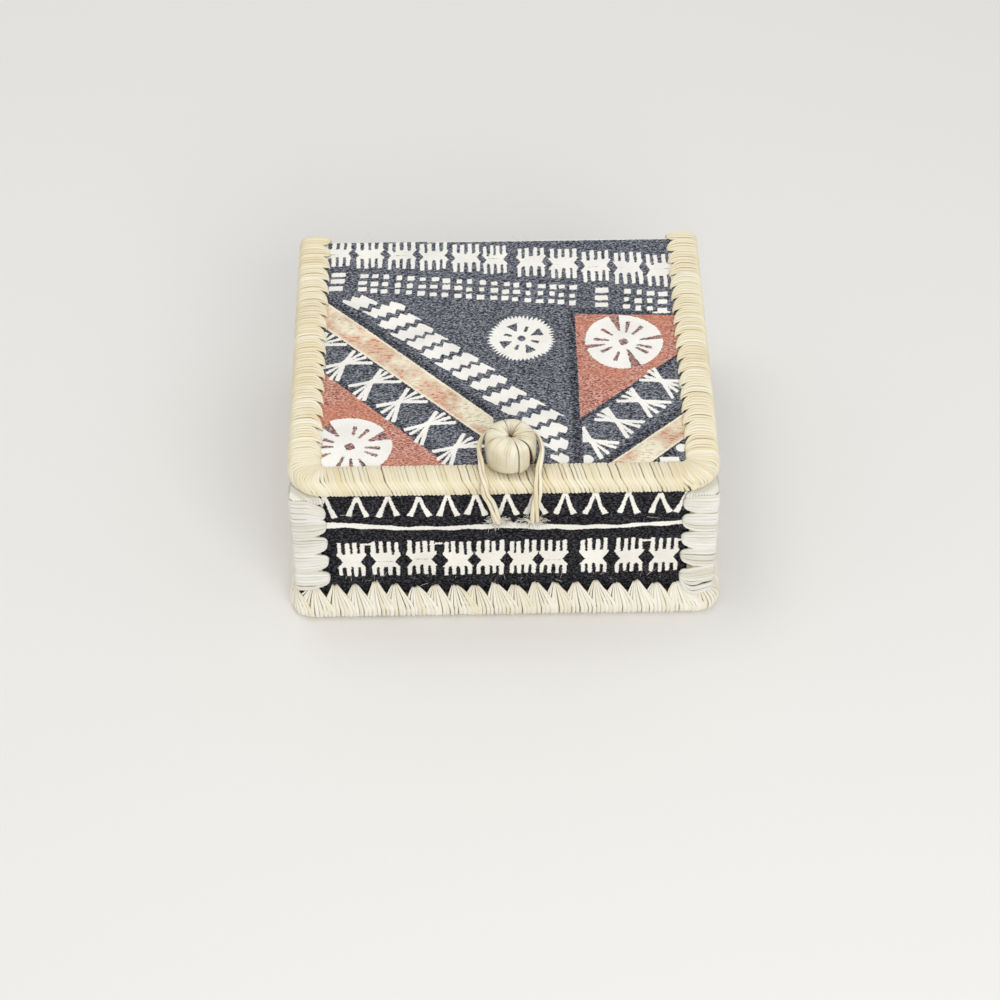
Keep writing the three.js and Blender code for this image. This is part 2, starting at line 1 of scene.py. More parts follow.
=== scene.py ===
# %% [markdown]
# # A bark cloth trinket box
# The box is made of board panels covered with printed bark cloth, the beaten inner bark that is
# printed with dark dyes all over the South Pacific. Strips of raffia are wound over every edge.
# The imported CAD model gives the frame: each piece below is dressed over a CAD solid and rides on
# the CAD body that carries it. All sizes are written in millimetres and turned to metres once,
# when a mesh is made.

# %% Load the frame
import math
import bpy
import numpy as np
from mathutils import Matrix, Vector


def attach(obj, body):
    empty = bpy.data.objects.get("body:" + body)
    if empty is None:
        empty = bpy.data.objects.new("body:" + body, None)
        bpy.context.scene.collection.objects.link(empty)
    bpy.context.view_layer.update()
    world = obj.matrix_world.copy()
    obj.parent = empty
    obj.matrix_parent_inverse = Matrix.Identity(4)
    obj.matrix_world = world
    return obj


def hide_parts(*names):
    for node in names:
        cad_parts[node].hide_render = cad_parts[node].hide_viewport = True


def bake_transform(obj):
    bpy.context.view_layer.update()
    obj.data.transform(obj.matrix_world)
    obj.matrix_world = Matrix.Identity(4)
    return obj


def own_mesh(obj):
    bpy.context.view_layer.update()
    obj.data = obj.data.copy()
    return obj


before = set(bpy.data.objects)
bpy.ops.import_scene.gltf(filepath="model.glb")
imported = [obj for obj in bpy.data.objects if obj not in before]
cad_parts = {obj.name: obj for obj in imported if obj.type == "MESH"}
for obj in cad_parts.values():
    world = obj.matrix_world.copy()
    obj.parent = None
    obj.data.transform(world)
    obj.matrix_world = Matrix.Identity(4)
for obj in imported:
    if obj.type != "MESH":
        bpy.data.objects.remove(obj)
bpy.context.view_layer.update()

MM = 0.001

# %% [markdown]
# ## The camera
# The photograph was taken from the front at about 45 degrees, with a long lens a little more than
# 60 cm away. The place and the axes come from fitting a pinhole camera to the corners of the box,
# so that the render lines up with the photograph. A real lens of about 96 mm on a 36 mm sensor
# has the same angle of view.

# %% Camera
def in_scene(name, data):
    """A new object of that data, linked into the scene."""
    made = bpy.data.objects.new(name, data)
    bpy.context.scene.collection.objects.link(made)
    return made


CAMERA_PLACE = Vector((-4.79, -476.62, 476.16)) * MM
LOOKS_ALONG = Vector((0.0062, 0.7028, -0.7114)).normalized()
UP_IN_PICTURE = Vector((0.0155, 0.7113, 0.7028))
LENS = 96.46

camera_data = bpy.data.cameras.new("camera")
camera_data.lens = LENS
camera_data.sensor_width = 36
camera_data.clip_start = 0.02
camera_data.clip_end = 20
camera = in_scene("camera", camera_data)
right = LOOKS_ALONG.cross(UP_IN_PICTURE).normalized()
up = right.cross(LOOKS_ALONG)
axes = Matrix((right, up, -LOOKS_ALONG)).transposed()
camera.matrix_world = Matrix.Translation(CAMERA_PLACE) @ axes.to_4x4()
bpy.context.scene.camera = camera
bpy.context.scene.view_settings.view_transform = "Standard"
print("camera distance in mm:", round(CAMERA_PLACE.length / MM))

# %% [markdown]
# ## Making meshes and materials
# Everything on this box is either a thin sheet, a wound strand or a lump with a core. Numpy arrays
# hold the points, so thousands of strand sections are computed at once. Values that the materials
# need, such as where a strand is sewn in, are kept on the points as named attributes.

# %% Mesh helper
def signed_volume(points, faces):
    total = 0.0
    for face in faces:
        face = np.asarray(face)
        a = points[face[..., 0]]
        for k in range(1, face.shape[-1] - 1):
            b, c = points[face[..., k]], points[face[..., k + 1]]
            total += float((a * np.cross(b, c)).sum()) / 6
    return total


def quads(*corners):
    """Faces of four corners, from four arrays of point numbers."""
    return np.stack(corners, -1).reshape(-1, 4)


def outward(points, groups):
    """groups are arrays of faces with the same number of corners."""
    groups = [np.asarray(group) for group in groups if len(group)]
    if signed_volume(points, groups) < 0:
        groups = [group[..., ::-1] for group in groups]
    return groups


class Parts:
    """Collects closed bodies that become one mesh."""

    def __init__(self):
        self.points, self.faces, self.smooth, self.material, self.values = [], [], [], [], {}
        self.count = 0

    def add(self, points, groups, values, material=0):
        points = np.asarray(points, float).reshape(-1, 3)
        for group in groups:
            self.add_faces((np.asarray(group) + self.count).tolist(), True, material)
        for name in set(self.values) | set(values):
            have = self.values.setdefault(name, np.zeros(self.count))
            new = np.broadcast_to(values.get(name, 0.0), len(points))
            self.values[name] = np.concatenate([have, new])
        self.points.append(points)
        self.count += len(points)

    def add_faces(self, rows, smooth, material=0):
        self.faces += rows
        self.smooth += [smooth] * len(rows)
        self.material += [material] * len(rows)

    def piece(self, name, materials, body, stands_for=(), slot=None):
        mesh = bpy.data.meshes.new(name)
        points = np.concatenate(self.points) * MM
        mesh.from_pydata(points.tolist(), [], self.faces)
        for key, value in self.values.items():
            attribute = mesh.attributes.new(key, "FLOAT", "POINT")
            attribute.data.foreach_set("value", np.asarray(value, np.float32))
        mesh.polygons.foreach_set("use_smooth", self.smooth)
        mesh.polygons.foreach_set("material_index", self.material)
        mesh.update()
        made = in_scene(name, mesh)
        for material in materials:
            mesh.materials.append(material)
        if body:
            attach(made, body)
        if stands_for:
            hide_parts(*stands_for)
        print(f"{name}: {len(points)} points, {len(self.faces)} faces")
        return made


# %% Material helpers
def linear(code):
    """An sRGB hex colour as linear RGBA."""
    parts = [int(code[i:i + 2], 16) / 255 for i in (1, 3, 5)]
    return (*[c / 12.92 if c <= 0.04045 else ((c + 0.055) / 1.055) ** 2.4 for c in parts], 1)


def node(tree, kind, inputs=None, ramp=None, **settings):
    """Adds one node. An input is a value, a hex colour, a node or one output of a node."""
    made = tree.nodes.new("ShaderNode" + kind)
    for key, value in settings.items():
        setattr(made, key, value)
    for key, value in (inputs or {}).items():
        if isinstance(value, bpy.types.Node):
            # A mixing node gives its colour, which is its third output.
            value = value.outputs[2 if value.bl_idname == "ShaderNodeMix" else 0]
        if isinstance(value, bpy.types.NodeSocket):
            tree.links.new(value, made.inputs[key])
        else:
            made.inputs[key].default_value = linear(value) if isinstance(value, str) else value
    if ramp:
        elements = made.color_ramp.elements
        while len(elements) < len(ramp):
            elements.new(0.5)
        for element, (position, code) in zip(elements, ramp):
            element.position = position
            element.color = linear(code)
    return made


def new_material(name, roughness, specular):
    material = bpy.data.materials.new(name)
    material.use_nodes = True
    shader = material.node_tree.nodes["Principled BSDF"]
    shader.inputs["Roughness"].default_value = roughness
    shader.inputs["Specular IOR Level"].default_value = specular
    return material, material.node_tree, shader


# %% [markdown]
# ## Bark cloth
# Bark cloth is a felt of long plant fibres, beaten until they hold together. It is matt, slightly
# hairy, and its black and brown dyes sink in unevenly. The print is laid with leaf stencils, so the
# edges of the motifs are sharp but a little ragged. Each motif is drawn here in code as a distance,
# positive inside the printed shape, and the distance is stored on the fine grid of the cloth. The
# material turns the distance into a ragged edge by adding fibre noise before it is cut at zero.

# %% Bark cloth material
RUST_TONES = ("#6E322A", "#BA7767", "#F2C8B8")
FIBRE_STOPS = (0.44, 0.54, 0.66)


def bark_cloth(name, tones, undyed):
    # Matt felted fibre: high roughness, weak highlight, fibres about 0.3 mm wide and 2 mm long.
    material, tree, shader = new_material(name, 0.92, 0.08)
    place = node(tree, "TexCoord").outputs["Object"]
    in_mm = node(tree, "VectorMath", {0: place, 1: (1000, 1000, 1000)}, operation="MULTIPLY")
    fibres = []
    for turn, seed in ((0.6, 3.0), (1.75, 17.0), (-0.8, 41.0)):
        turned = node(tree, "Mapping", {
            "Vector": in_mm, "Rotation": (0, 0, turn), "Location": (seed,) * 3, "Scale": (1.4, 3.0, 2.4)})
        fibres.append(node(tree, "TexNoise", {
            "Vector": turned, "Scale": 1.0, "Detail": 4.0, "Roughness": 0.6}))
    crossing = node(tree, "Math", {0: fibres[0], 1: fibres[1]}, operation="MAXIMUM")
    felt = node(tree, "Math", {0: crossing, 1: fibres[2]}, operation="MAXIMUM")
    noise = node(tree, "TexNoise", {"Vector": in_mm, "Scale": 2.1, "Detail": 3.0, "Roughness": 0.65})
    ragged = node(tree, "Math", {0: noise, 1: -0.5}, operation="ADD")
    blotch = node(tree, "TexNoise", {"Vector": in_mm, "Scale": 0.09, "Detail": 3.0, "Roughness": 0.55})

    def printed(name, amount=0.72, soft=0.07):
        """1 inside a printed shape: its distance, made ragged, is cut at zero."""
        distance = node(tree, "Attribute", attribute_name=name).outputs["Fac"]
        edge = node(tree, "Math", {0: ragged, 1: amount, 2: distance}, operation="MULTIPLY_ADD")
        return node(tree, "MapRange", {"Value": edge, "From Min": -soft, "From Max": soft})

    # The black lines are drawn thinly over the fibres.
    colour = node(tree, "ValToRGB", {0: felt}, ramp=list(zip(FIBRE_STOPS, tones)))
    deep = node(tree, "MapRange", {
        "Value": felt, "From Min": 0.46, "From Max": 0.66, "To Min": 0.95, "To Max": 0.25})
    black = node(tree, "Math", {0: printed("black", 1.6, 0.3), 1: deep}, operation="MULTIPLY")
    colour = node(tree, "Mix", {0: black, 6: colour, 7: "#1D1D22"}, data_type="RGBA")
    # In places the rust dye is thinner and shows more orange.
    rust = node(tree, "ValToRGB", {0: felt}, ramp=list(zip(FIBRE_STOPS, RUST_TONES)))
    thin = node(tree, "MapRange", {"Value": blotch, "From Min": 0.42, "From Max": 0.62, "To Max": 0.55})
    rust = node(tree, "Mix", {0: thin, 6: rust, 7: "#C87F60"}, data_type="RGBA")
    colour = node(tree, "Mix", {0: printed("rust"), 6: colour, 7: rust}, data_type="RGBA")

    # The ochre bands are cream with rust dye brushed across them and a few olive strokes.
    middle = node(tree, "Attribute", attribute_name="ochre").outputs["Fac"]
    inside = node(tree, "MapRange", {"Value": middle, "From Min": 0.1, "From Max": 0.8})
    turned = node(tree, "Mapping", {"Vector": in_mm, "Rotation": (0, 0, 0.3), "Scale": (0.62, 2.3, 2.3)})
    brush = node(tree, "TexNoise", {
        "Vector": turned, "Scale": 1.0, "Detail": 4.0, "Roughness": 0.7, "Distortion": 0.4})
    rub = node(tree, "TexNoise", {"Vector": in_mm, "Scale": 0.17, "Detail": 2.0})
    rubbed = node(tree, "MapRange", {"Value": rub, "From Min": 0.4, "From Max": 0.56})
    grain = node(tree, "MapRange", {
        "Value": brush, "From Min": 0.42, "From Max": 0.62, "To Min": 0.1, "To Max": 1.0})
    streak = node(tree, "Math", {0: inside, 1: rubbed}, operation="MULTIPLY")
    streak = node(tree, "Math", {0: streak, 1: grain}, operation="MULTIPLY")
    olive = node(tree, "MapRange", {"Value": brush, "From Min": 0.48, "From Max": 0.38, "To Max": 0.7})
    olive = node(tree, "Math", {0: inside, 1: olive}, operation="MULTIPLY")
    tint = node(tree, "Mix", {0: olive, 6: "#FAF1D8", 7: "#A89A6C"}, data_type="RGBA")
    tint = node(tree, "Mix", {0: streak, 6: tint, 7: "#C2683E"}, data_type="RGBA")
    colour = node(tree, "Mix", {0: printed("ochre"), 6: colour, 7: tint}, data_type="RGBA")

    # Bare cloth is worn in the same fibres, and all of it is blotched by age.
    worn = node(tree, "MapRange", {"Value": felt, "From Min": 0.5, "From Max": 0.8, "To Max": 0.35})
    bare = node(tree, "Mix", {0: worn, 6: undyed, 7: "#D8CDB2"}, data_type="RGBA")
    colour = node(tree, "Mix", {0: printed("white"), 6: colour, 7: bare}, data_type="RGBA")
    shade = node(tree, "MapRange", {
        "Value": blotch, "From Min": 0.3, "From Max": 0.7, "To Min": 0.9, "To Max": 1.06})
    colour = node(tree, "Mix", {0: 1.0, 6: colour, 7: shade}, data_type="RGBA", blend_type="MULTIPLY")
    bump = node(tree, "Bump", {"Height": felt, "Strength": 0.55, "Distance": 0.00018})
    tree.links.new(colour.outputs[2], shader.inputs["Base Color"])
    tree.links.new(bump.outputs[0], shader.inputs["Normal"])
    return material


lid_print = bark_cloth("bark cloth, charcoal dyed", ("#17191F", "#434650", "#ADAFB8"), "#FCFAF3")
wall_print = bark_cloth("bark cloth, black dyed", ("#060607", "#131216", "#4E4D52"), "#F8F5EC")
bare_cloth = bark_cloth("bark cloth, undyed", ("#D6C49A", "#E4D5AF", "#F0E5C9"), "#EFE4C8")

# %% Cloth sheets
NO_INK = -4.0


def rows_along(breaks, steps):
    """Points along a profile of straight parts, with the number of steps in each part."""
    rows = [breaks[0]]
    for (a, b), count in zip(zip(breaks, breaks[1:]), steps):
        rows += [tuple(np.array(a) + (np.array(b) - a) * i / count) for i in range(1, count + 1)]
    return np.array(rows, float)


def cloth(name, outer, inner, steps, half, step, place, material, body, node_name, slot, ink=None,
          narrow=None):
    """A closed sheet of cloth. outer and inner are its profile as (out, height) breaks."""
    out, back = rows_along(outer, steps), rows_along(inner, steps)
    columns = max(1, round(2 * half / step))
    across = np.linspace(-half, half, columns + 1)
    rows = len(out)
    width = np.ones(rows) if narrow is None else narrow(out)
    a = across[None, :] * width[:, None]
    top = place(a, out[:, :1] + 0 * a, out[:, 1:] + 0 * a)
    low = place(a, back[:, :1] + 0 * a, back[:, 1:] + 0 * a)
    count = rows * (columns + 1)
    index = np.arange(count).reshape(rows, columns + 1)
    faces = quads(index[:-1, :-1], index[:-1, 1:], index[1:, 1:], index[1:, :-1])
    rim = np.full((rows, columns + 1), -1)
    edge = np.zeros((rows, columns + 1), bool)
    edge[[0, -1], :] = True
    edge[:, [0, -1]] = True
    rim[edge] = count + np.arange(edge.sum())
    loop = [(0, j) for j in range(columns + 1)] + [(i, columns) for i in range(1, rows)]
    loop += [(rows - 1, j) for j in range(columns - 1, -1, -1)] + [(i, 0) for i in range(rows - 2, 0, -1)]
    sides = []
    for here, there in zip(loop, loop[1:] + loop[:1]):
        sides.append((index[there], index[here], rim[here], rim[there]))
    backs = []
    cuts = np.concatenate([[0], np.cumsum(steps)])
    for first, last in zip(cuts, cuts[1:]):
        face = [rim[i, 0] for i in range(first, last + 1)]
        if last == rows - 1:
            face += list(rim[last, 1:-1])
        face += [rim[i, columns] for i in range(last, first - 1, -1)]
        if first == 0:
            face += list(rim[0, -2:0:-1])
        backs.append(face)
    points = np.concatenate([top.reshape(-1, 3), low[edge]])
    values = {key: np.full(len(points), NO_INK) for key in ("white", "rust", "ochre", "black")}
    if ink:
        for key, value in ink(top.reshape(-1, 3)).items():
            values[key][:len(value)] = value
    probe = faces[len(faces) // 2]
    a0, b0, d0 = (points[probe[k]] for k in (0, 1, 3))
    turn = -1 if np.dot(np.cross(b0 - a0, d0 - a0), a0 - low.reshape(-1, 3)[probe[0]]) < 0 else 1
    parts = Parts()
    parts.add(points, [faces[:, ::turn]], values)
    parts.add_faces([tuple(face[::turn]) for face in sides + backs], False)
    return parts.piece(name, [material], body, [node_name], slot)

# %% [markdown]
# ## The motifs
# The prints on this cloth are the common ones of island bark cloth: combs with four teeth up and
# four down, small blocks in rows, zigzag steps, crossed fans, wheels, flowers and plain lines. A
# stencil cutter makes them from a few straight cuts, so they are built here from strokes, blocks
# and discs. Small seeded shifts keep them from looking machine made.

# %% Strokes, blocks and discs
STEP_PERIOD, STEP_SWING = 2.5, 0.72


def stroke(x, y, start, end, wide, wide_end):
    """A straight printed bar with flat ends, which may widen along its length."""
    (ax, ay), (bx, by) = start, end
    length = math.hypot(bx - ax, by - ay)
    ux, uy = (bx - ax) / length, (by - ay) / length
    along = (x - ax) * ux + (y - ay) * uy
    across = np.abs((y - ay) * ux - (x - ax) * uy)
    share = np.clip(along / length, 0, 1)
    half = (wide + (wide_end - wide) * share) / 2
    return np.minimum(half - across, np.minimum(along, length - along))


def spoke(cx, cy, degrees, near, far):
    """The two ends of a bar that points away from a centre."""
    a = math.radians(degrees)
    return [(cx + r * math.cos(a), cy + r * math.sin(a)) for r in (near, far)]


def block(x, y, cx, cy, w, h):
    return np.minimum(w / 2 - np.abs(x - cx), h / 2 - np.abs(y - cy))


def diamond(x, y, cx, cy, w, h):
    return (1 - np.abs(x - cx) / (w / 2) - np.abs(y - cy) / (h / 2)) * min(w, h) / 2


def beyond(x, y, point, degrees):
    """Distance to the right of a line through point."""
    turn = math.radians(degrees)
    return (x - point[0]) * math.sin(turn) - (y - point[1]) * math.cos(turn)


def comb(x, y, rng, cx, cy, wide, up, above, below, down, notch):
    """Four teeth up and four down on a broad body, with a nick in each side of its waist."""
    pitch = wide / 4
    body = above + below
    shape = block(x, y, cx, cy + (above - below) / 2, wide - 0.1, body)
    for k in range(4):
        at = cx + (k - 1.5) * pitch + rng.uniform(-0.12, 0.12)
        tooth = pitch * rng.uniform(0.46, 0.6)
        top = cy + above + up + rng.uniform(-0.4, 0.25)
        foot = cy - below - down + rng.uniform(-0.35, 0.3)
        bend = rng.uniform(-0.15, 0.15)
        shape = np.maximum(shape, stroke(x, y, (at, cy), (at + bend, top), tooth * 1.1, tooth))
        shape = np.maximum(shape, stroke(x, y, (at, cy), (at - bend, foot), tooth * 1.2, tooth * 0.9))
        # The gaps between the teeth are cut to slightly different depths.
        gap = cx + (k - 1) * pitch + rng.uniform(-0.1, 0.1)
        if k < 3:
            for rim, sign, deepest in ((cy + above, 1, 0.9), (cy - below, -1, 0.5)):
                deep = rng.uniform(0.0, deepest)
                cut = block(x, y, gap, rim + sign * (0.2 - deep / 2), pitch * 0.36, deep + 0.4)
                shape = np.minimum(shape, -cut)
    for side in (-1, 1):
        at = cx + side * wide / 2
        nick = diamond(x, y, at, cy + rng.uniform(-0.2, 0.2), 2.3 * notch, body * rng.uniform(0.86, 1.0))
        shape = np.minimum(shape, -nick)
    # A worn line often runs along the waist.
    if rng.uniform() < 0.6:
        worn = block(x, y, cx, cy + rng.uniform(-0.5, 0.5), wide * 0.55, 0.28)
        shape = np.minimum(shape, 0.12 - worn * 2)
    return shape


def flower(x, y, rng, cx, cy, radius, notches, slots):
    """A round flower: deep wedges between the petals and two narrow slots in each petal."""
    dx, dy = x - cx, y - cy
    rho = np.hypot(dx, dy)
    turn = np.arctan2(dy, dx)
    shape = radius * (1 + 0.02 * np.sin(3 * turn + 1)) - rho
    for degrees, start, open_by in notches:
        a = math.radians(degrees)
        along = dx * math.cos(a) + dy * math.sin(a) - start
        across = np.abs(dy * math.cos(a) - dx * math.sin(a))
        shape = np.minimum(shape, -np.minimum(along * open_by + 0.22 - across, along))
    for degrees in slots:
        ends = spoke(cx, cy, degrees + rng.uniform(-3, 3), radius * rng.uniform(0.34, 0.4),
                     radius * rng.uniform(0.68, 0.78))
        shape = np.minimum(shape, -stroke(x, y, *ends, 0.55, 1.05))
    return np.minimum(shape, -(radius * 0.12 - rho * (1 + 0.12 * np.sin(4 * turn))))


def wheel(x, y, cx, cy, radius, teeth):
    """A toothed wheel with four wide and four narrow cuts round a dark hub."""
    dx, dy = x - cx, y - cy
    rho = np.hypot(dx, dy)
    turn = np.arctan2(dy, dx)
    saw = np.abs((turn * teeth / (2 * np.pi) + 0.3 * np.sin(3 * turn)) % 1 - 0.5) * 2
    deep = 1.65 + 0.35 * np.sin(5 * turn + 1) + 0.25 * np.sin(11 * turn)
    shape = (radius - deep * saw - rho) * 0.65
    for quarter in range(4):
        for degrees, near, far, thin, wide in ((25, 2.6, 5.4, 0.3, 2.9), (70, 2.4, 4.4, 0.7, 0.9)):
            ends = spoke(cx, cy, degrees + 90 * quarter, near, far)
            shape = np.minimum(shape, -stroke(x, y, *ends, thin, wide))
    return np.minimum(shape, -(1.0 - rho))


def steps(x, y, rng, cx, cy, length, thick, degrees):
    """A bar whose two long edges run in zigzag steps."""
    turn = math.radians(degrees)
    u = (x - cx) * math.cos(turn) + (y - cy) * math.sin(turn)
    v = (y - cy) * math.cos(turn) - (x - cx) * math.sin(turn)
    # All bars share one zigzag, so the dark gaps between them keep their width.
    run = x * math.cos(turn) + y * math.sin(turn)
    saw = (np.abs(((run / STEP_PERIOD) % 1) - 0.5) * 4 - 1) * STEP_SWING * rng.uniform(0.85, 1.15)
    # The ends are cut slantwise, along the run of the whole band.
    ends = length / 2 - np.abs(u) - 0.5 * v * np.sign(u)
    return np.minimum((thick / 2 - np.abs(v - saw)) * 0.7, ends)


def crossed_fans(x, y, rng, cx, cy, prongs):
    """Two fans of four prongs that open from one waist; each prong is (degrees, reach)."""
    shape = 0.8 - np.hypot(x - cx, y - cy)
    for k, (lean, reach) in enumerate(prongs):
        ends = spoke(cx, cy, lean + rng.uniform(-3, 3), 0, reach * rng.uniform(0.94, 1.06))
        root = 0.95 if k % 4 in (0, 3) else 0.35
        shape = np.maximum(shape, stroke(x, y, *ends, root, rng.uniform(0.9, 1.15)))
    return shape


# %% [markdown]
# ## The print on the lid
# A row of combs and a grid of small blocks run along the back and slope down to the right. Below
# them a charcoal field holds a toothed wheel. Bands of zigzag steps, ochre and crossed fans cross
# it slantwise, with a rust corner and its flower at each lower side.

# %% Lid print
GRID_COLUMNS = (-39.8, -33.5, -30.6, -28.0, -24.8, -21.8, -19.0, -15.9, -13.0, -9.8, -7.3, -4.2, -1.2,
                1.8, 4.3, 7.2, 10.3, 13.1, 15.4, 18.1, 25.2, 31.4, 34.2, 37.0, 40.0)
ZIGZAGS = ((-34.3, 20.4), (-27.9, 17.3), (-24.8, 12.9), (-21.2, 8.9), (-17.9, 5.6), (-14.4, 2.0),
           (-10.4, -1.9), (-7.0, -5.4), (-3.1, -9.4), (0.6, -14.0), (4.5, -17.9), (9.0, -21.8),
           (11.3, -26.1), (12.8, -30.8), (13.6, -35.6))
LEFT_FANS = ((-44.2, 4.8), (-37.6, -1.8), (-30.9, -8.6), (-24.3, -15.6), (-17.5, -23.3), (-11.0, -31.2))
LEFT_PRONGS = ((64, 5.0), (42, 5.2), (20, 5.9), (0, 7.0), (196, 5.6), (222, 5.8), (242, 6.6), (257, 6.9))
RIGHT_FANS = ((38.0, -9.6), (32.5, -16.5), (26.5, -23.1), (20.4, -29.7))
RIGHT_PRONGS = ((114, 4.8), (131, 4.6), (156, 4.7), (178, 5.3), (-6, 7.0), (-24, 6.1), (-48, 5.7),
                (-69, 6.4))
# Place, radius, deep notches as (degrees, start, opening) and slots in degrees.
FLOWERS = (
    ((-35.6, -30.6), 9.7, ((128, 4.2, 0.2), (24, 4.6, 0.3), (-62, 4.6, 0.12), (205, 4.8, 0.12)),
     (82, 54, -5, -27, 158, 182, 250, 275)),
    ((29.6, 4.3), 9.4, ((102, 4.0, 0.19), (10, 4.0, 0.1), (-73, 2.7, 0.16), (190, 4.4, 0.1)),
     (80, 49, 168, 139, 214, 252, -16, -38)),
)


def lid_ink(points):
    rng = np.random.default_rng(11)
    x, y, z = points.T
    # The stencil lay a little skew to the back edge, so the rows are eased round to meet it.
    ease = np.clip((y - 4) / 38, 0, 1)
    ease = ease * ease * (3 - 2 * ease)
    y = y - (1.0 + 0.045 * x) * ease + (z - 43) * (z < 42.6)
    white = np.full(x.shape, NO_INK)

    for k in range(12):
        cx = -40.3 + 8.02 * k - (0.8 if k == 5 else 0) + (0.2 if k > 5 else 0)
        cy = 38.7 - 0.102 * (cx + 32) - 0.047 * max(cx + 18, 0)
        wide = 6.4 if k == 5 else 7.5
        grow = 1 + 0.004 * (cx + 32)
        white = np.maximum(white, comb(x, y, rng, cx, cy, wide, 3.2, 1.9 * grow, 1.7 * grow, 3.4, 1.0))

    for row in range(3):
        for column, cx in enumerate(GRID_COLUMNS):
            wide = {0: 3.5, 1: 2.1, 20: 3.2, 24: 2.3}.get(column, rng.uniform(1.2, 1.95))
            tall = rng.uniform(1.3, 1.8)
            at = cx - 0.22 * row + rng.uniform(-0.15, 0.15)
            cy = 31.3 - 2.62 * row - 0.136 * (cx + 40) + rng.uniform(-0.2, 0.2)
            white = np.maximum(white, block(x, y, at, cy, wide, tall))
    white = np.maximum(white, block(x, y, 39.4, 14.3, 4.4, 0.5))

    for k, (cx, cy) in enumerate(ZIGZAGS):
        length = {0: 5.6, 12: 6.6, 13: 4.6, 14: 3.6}.get(k, 8.6) + rng.uniform(-0.5, 0.5)
        thick = 4.4 if k == 0 else rng.uniform(3.2, 3.7)
        white = np.maximum(white, steps(x, y, rng, cx, cy, length, thick, 26))
    for places, prongs in ((LEFT_FANS, LEFT_PRONGS), (RIGHT_FANS, RIGHT_PRONGS)):
        for cx, cy in places:
            white = np.maximum(white, crossed_fans(x, y, rng, cx, cy, prongs))
    white = np.maximum(white, wheel(x, y, 5.0, 6.1, 8.5, 50))

    rust = beyond(x, y, (-30.0, -18.6), -47.3)
    rust = np.minimum(rust, -10.4 - x)
    right_field = np.minimum(x - 18.2, 14.3 - 0.045 * (x - 18) - y)
    rust_foot = beyond(x, y, (26.5, -14.7), 42.2)
    right_field = np.minimum(right_field, -rust_foot)
    rust = np.maximum(np.maximum(rust, right_field), NO_INK)
    for place, radius, notches, slots in FLOWERS:
        white = np.maximum(white, flower(x, y, rng, *place, radius, notches, slots))

    left_band = np.minimum(beyond(x, y, (-20.0, -2.9), -46.4), -beyond(x, y, (-20.0, -12.3), -45.8))
    right_band = np.minimum(beyond(x, y, (31.5, -31.0), 42), -beyond(x, y, (37.0, -34.3), 43.5))
    on_left, on_right = x < -2, x > 18
    ochre = np.maximum(np.where(on_left, left_band, NO_INK), np.where(on_right, right_band, NO_INK))
    ochre = np.maximum(ochre, NO_INK)
    spots = np.maximum(1.5 - np.hypot(x - 19.3, y + 36), 1.3 - np.hypot(x - 41.3, y + 32.6))
    white = np.maximum(white, np.maximum(spots, block(x, y, 38.3, -36.4, 4.5, 1.6)))

    black = block(x, y, 17.3, -11.5, 1.9, 53)
    black = np.maximum(black, np.minimum(x - 17, 0.75 - np.abs(y - 15.1 + 0.045 * (x - 18))))
    black = np.maximum(black, 0.8 - np.abs(beyond(x, y, (-29.2, -18.1), -47.3)))
    black = np.maximum(black, np.minimum(x - 18, 0.55 - np.abs(rust_foot - 0.5)))
    # A dark line lies along both sides of each ochre band.
    black = np.maximum(black, np.where(on_left, np.minimum(-left_band, 1.9 + left_band), NO_INK))
    black = np.maximum(black, np.where(on_right, np.minimum(-right_band, 2.2 + right_band), NO_INK))
    # A pale line drawn as bare cloth along the back fold is a painted highlight on the fold.
    painted_fold_highlight = 0.35 - np.hypot(points[:, 1] - 42.9, z - 42.9)
    painted_fold_highlight = np.where(x > -18, painted_fold_highlight, NO_INK)
    # Nothing crosses the black stripe but the last zigzag blocks, and petals lie over the rust.
    white = np.where((x > 15.3) & (x < 18.2) & (y < 14), NO_INK, white)
    # Inside a flower the dye shows brown between the petals.
    for (cx, cy), *_ in FLOWERS:
        rust = np.minimum(rust, np.maximum(np.hypot(x - cx, y - cy) - 9.1, 0.0))
    rust = np.minimum(rust, -white)
    return {"white": np.maximum(white, painted_fold_highlight), "rust": rust, "ochre": ochre, "black": black}


# %% [markdown]
# ## The print on the walls
# Each wall carries the same three rows: open wedges under the lid, one thin line, and a row of
# combs above the base binding. Only the front shows in the photograph, so the other walls repeat
# its rows with their own small irregularities.

# %% Wall print
WEDGES = (-41.5, -34.0, -26.8, -19.8, -13.0, -6.4, 0.6, 7.2, 14.0, 21.0, 28.5, 36.0, 42.0)
LINE_X = (-42.0, -35.0, -25.0, -15.0, -5.0, -1.0, 8.0, 15.0, 25.0, 35.0, 42.0)
LINE_Z = (29.7, 29.5, 28.4, 28.2, 28.5, 28.9, 28.3, 27.9, 27.9, 28.6, 29.0)
COMBS = (-36.0, -28.0, -19.5, -11.0, -3.3, 4.3, 11.5, 21.0, 29.3, 37.5)


def wedge(x, z, rng, cx):
    """Two strokes that meet under the lid and flare into feet."""
    shape = np.full(x.shape, NO_INK)
    top = 39.2 + rng.uniform(-0.6, 0.2)
    for side in (-1, 1):
        foot = (cx + side * rng.uniform(1.9, 2.5), 32.3 + rng.uniform(-0.2, 0.3))
        knee = (cx + side * rng.uniform(1.2, 1.5), 34.6 + rng.uniform(-0.4, 0.4))
        shape = np.maximum(shape, stroke(x, z, (cx + side * 0.15, top), knee, 0.75, 0.95))
        shape = np.maximum(shape, stroke(x, z, (knee[0] - side * 0.15, knee[1] + 0.5), foot, 0.9, 1.5))
    return shape


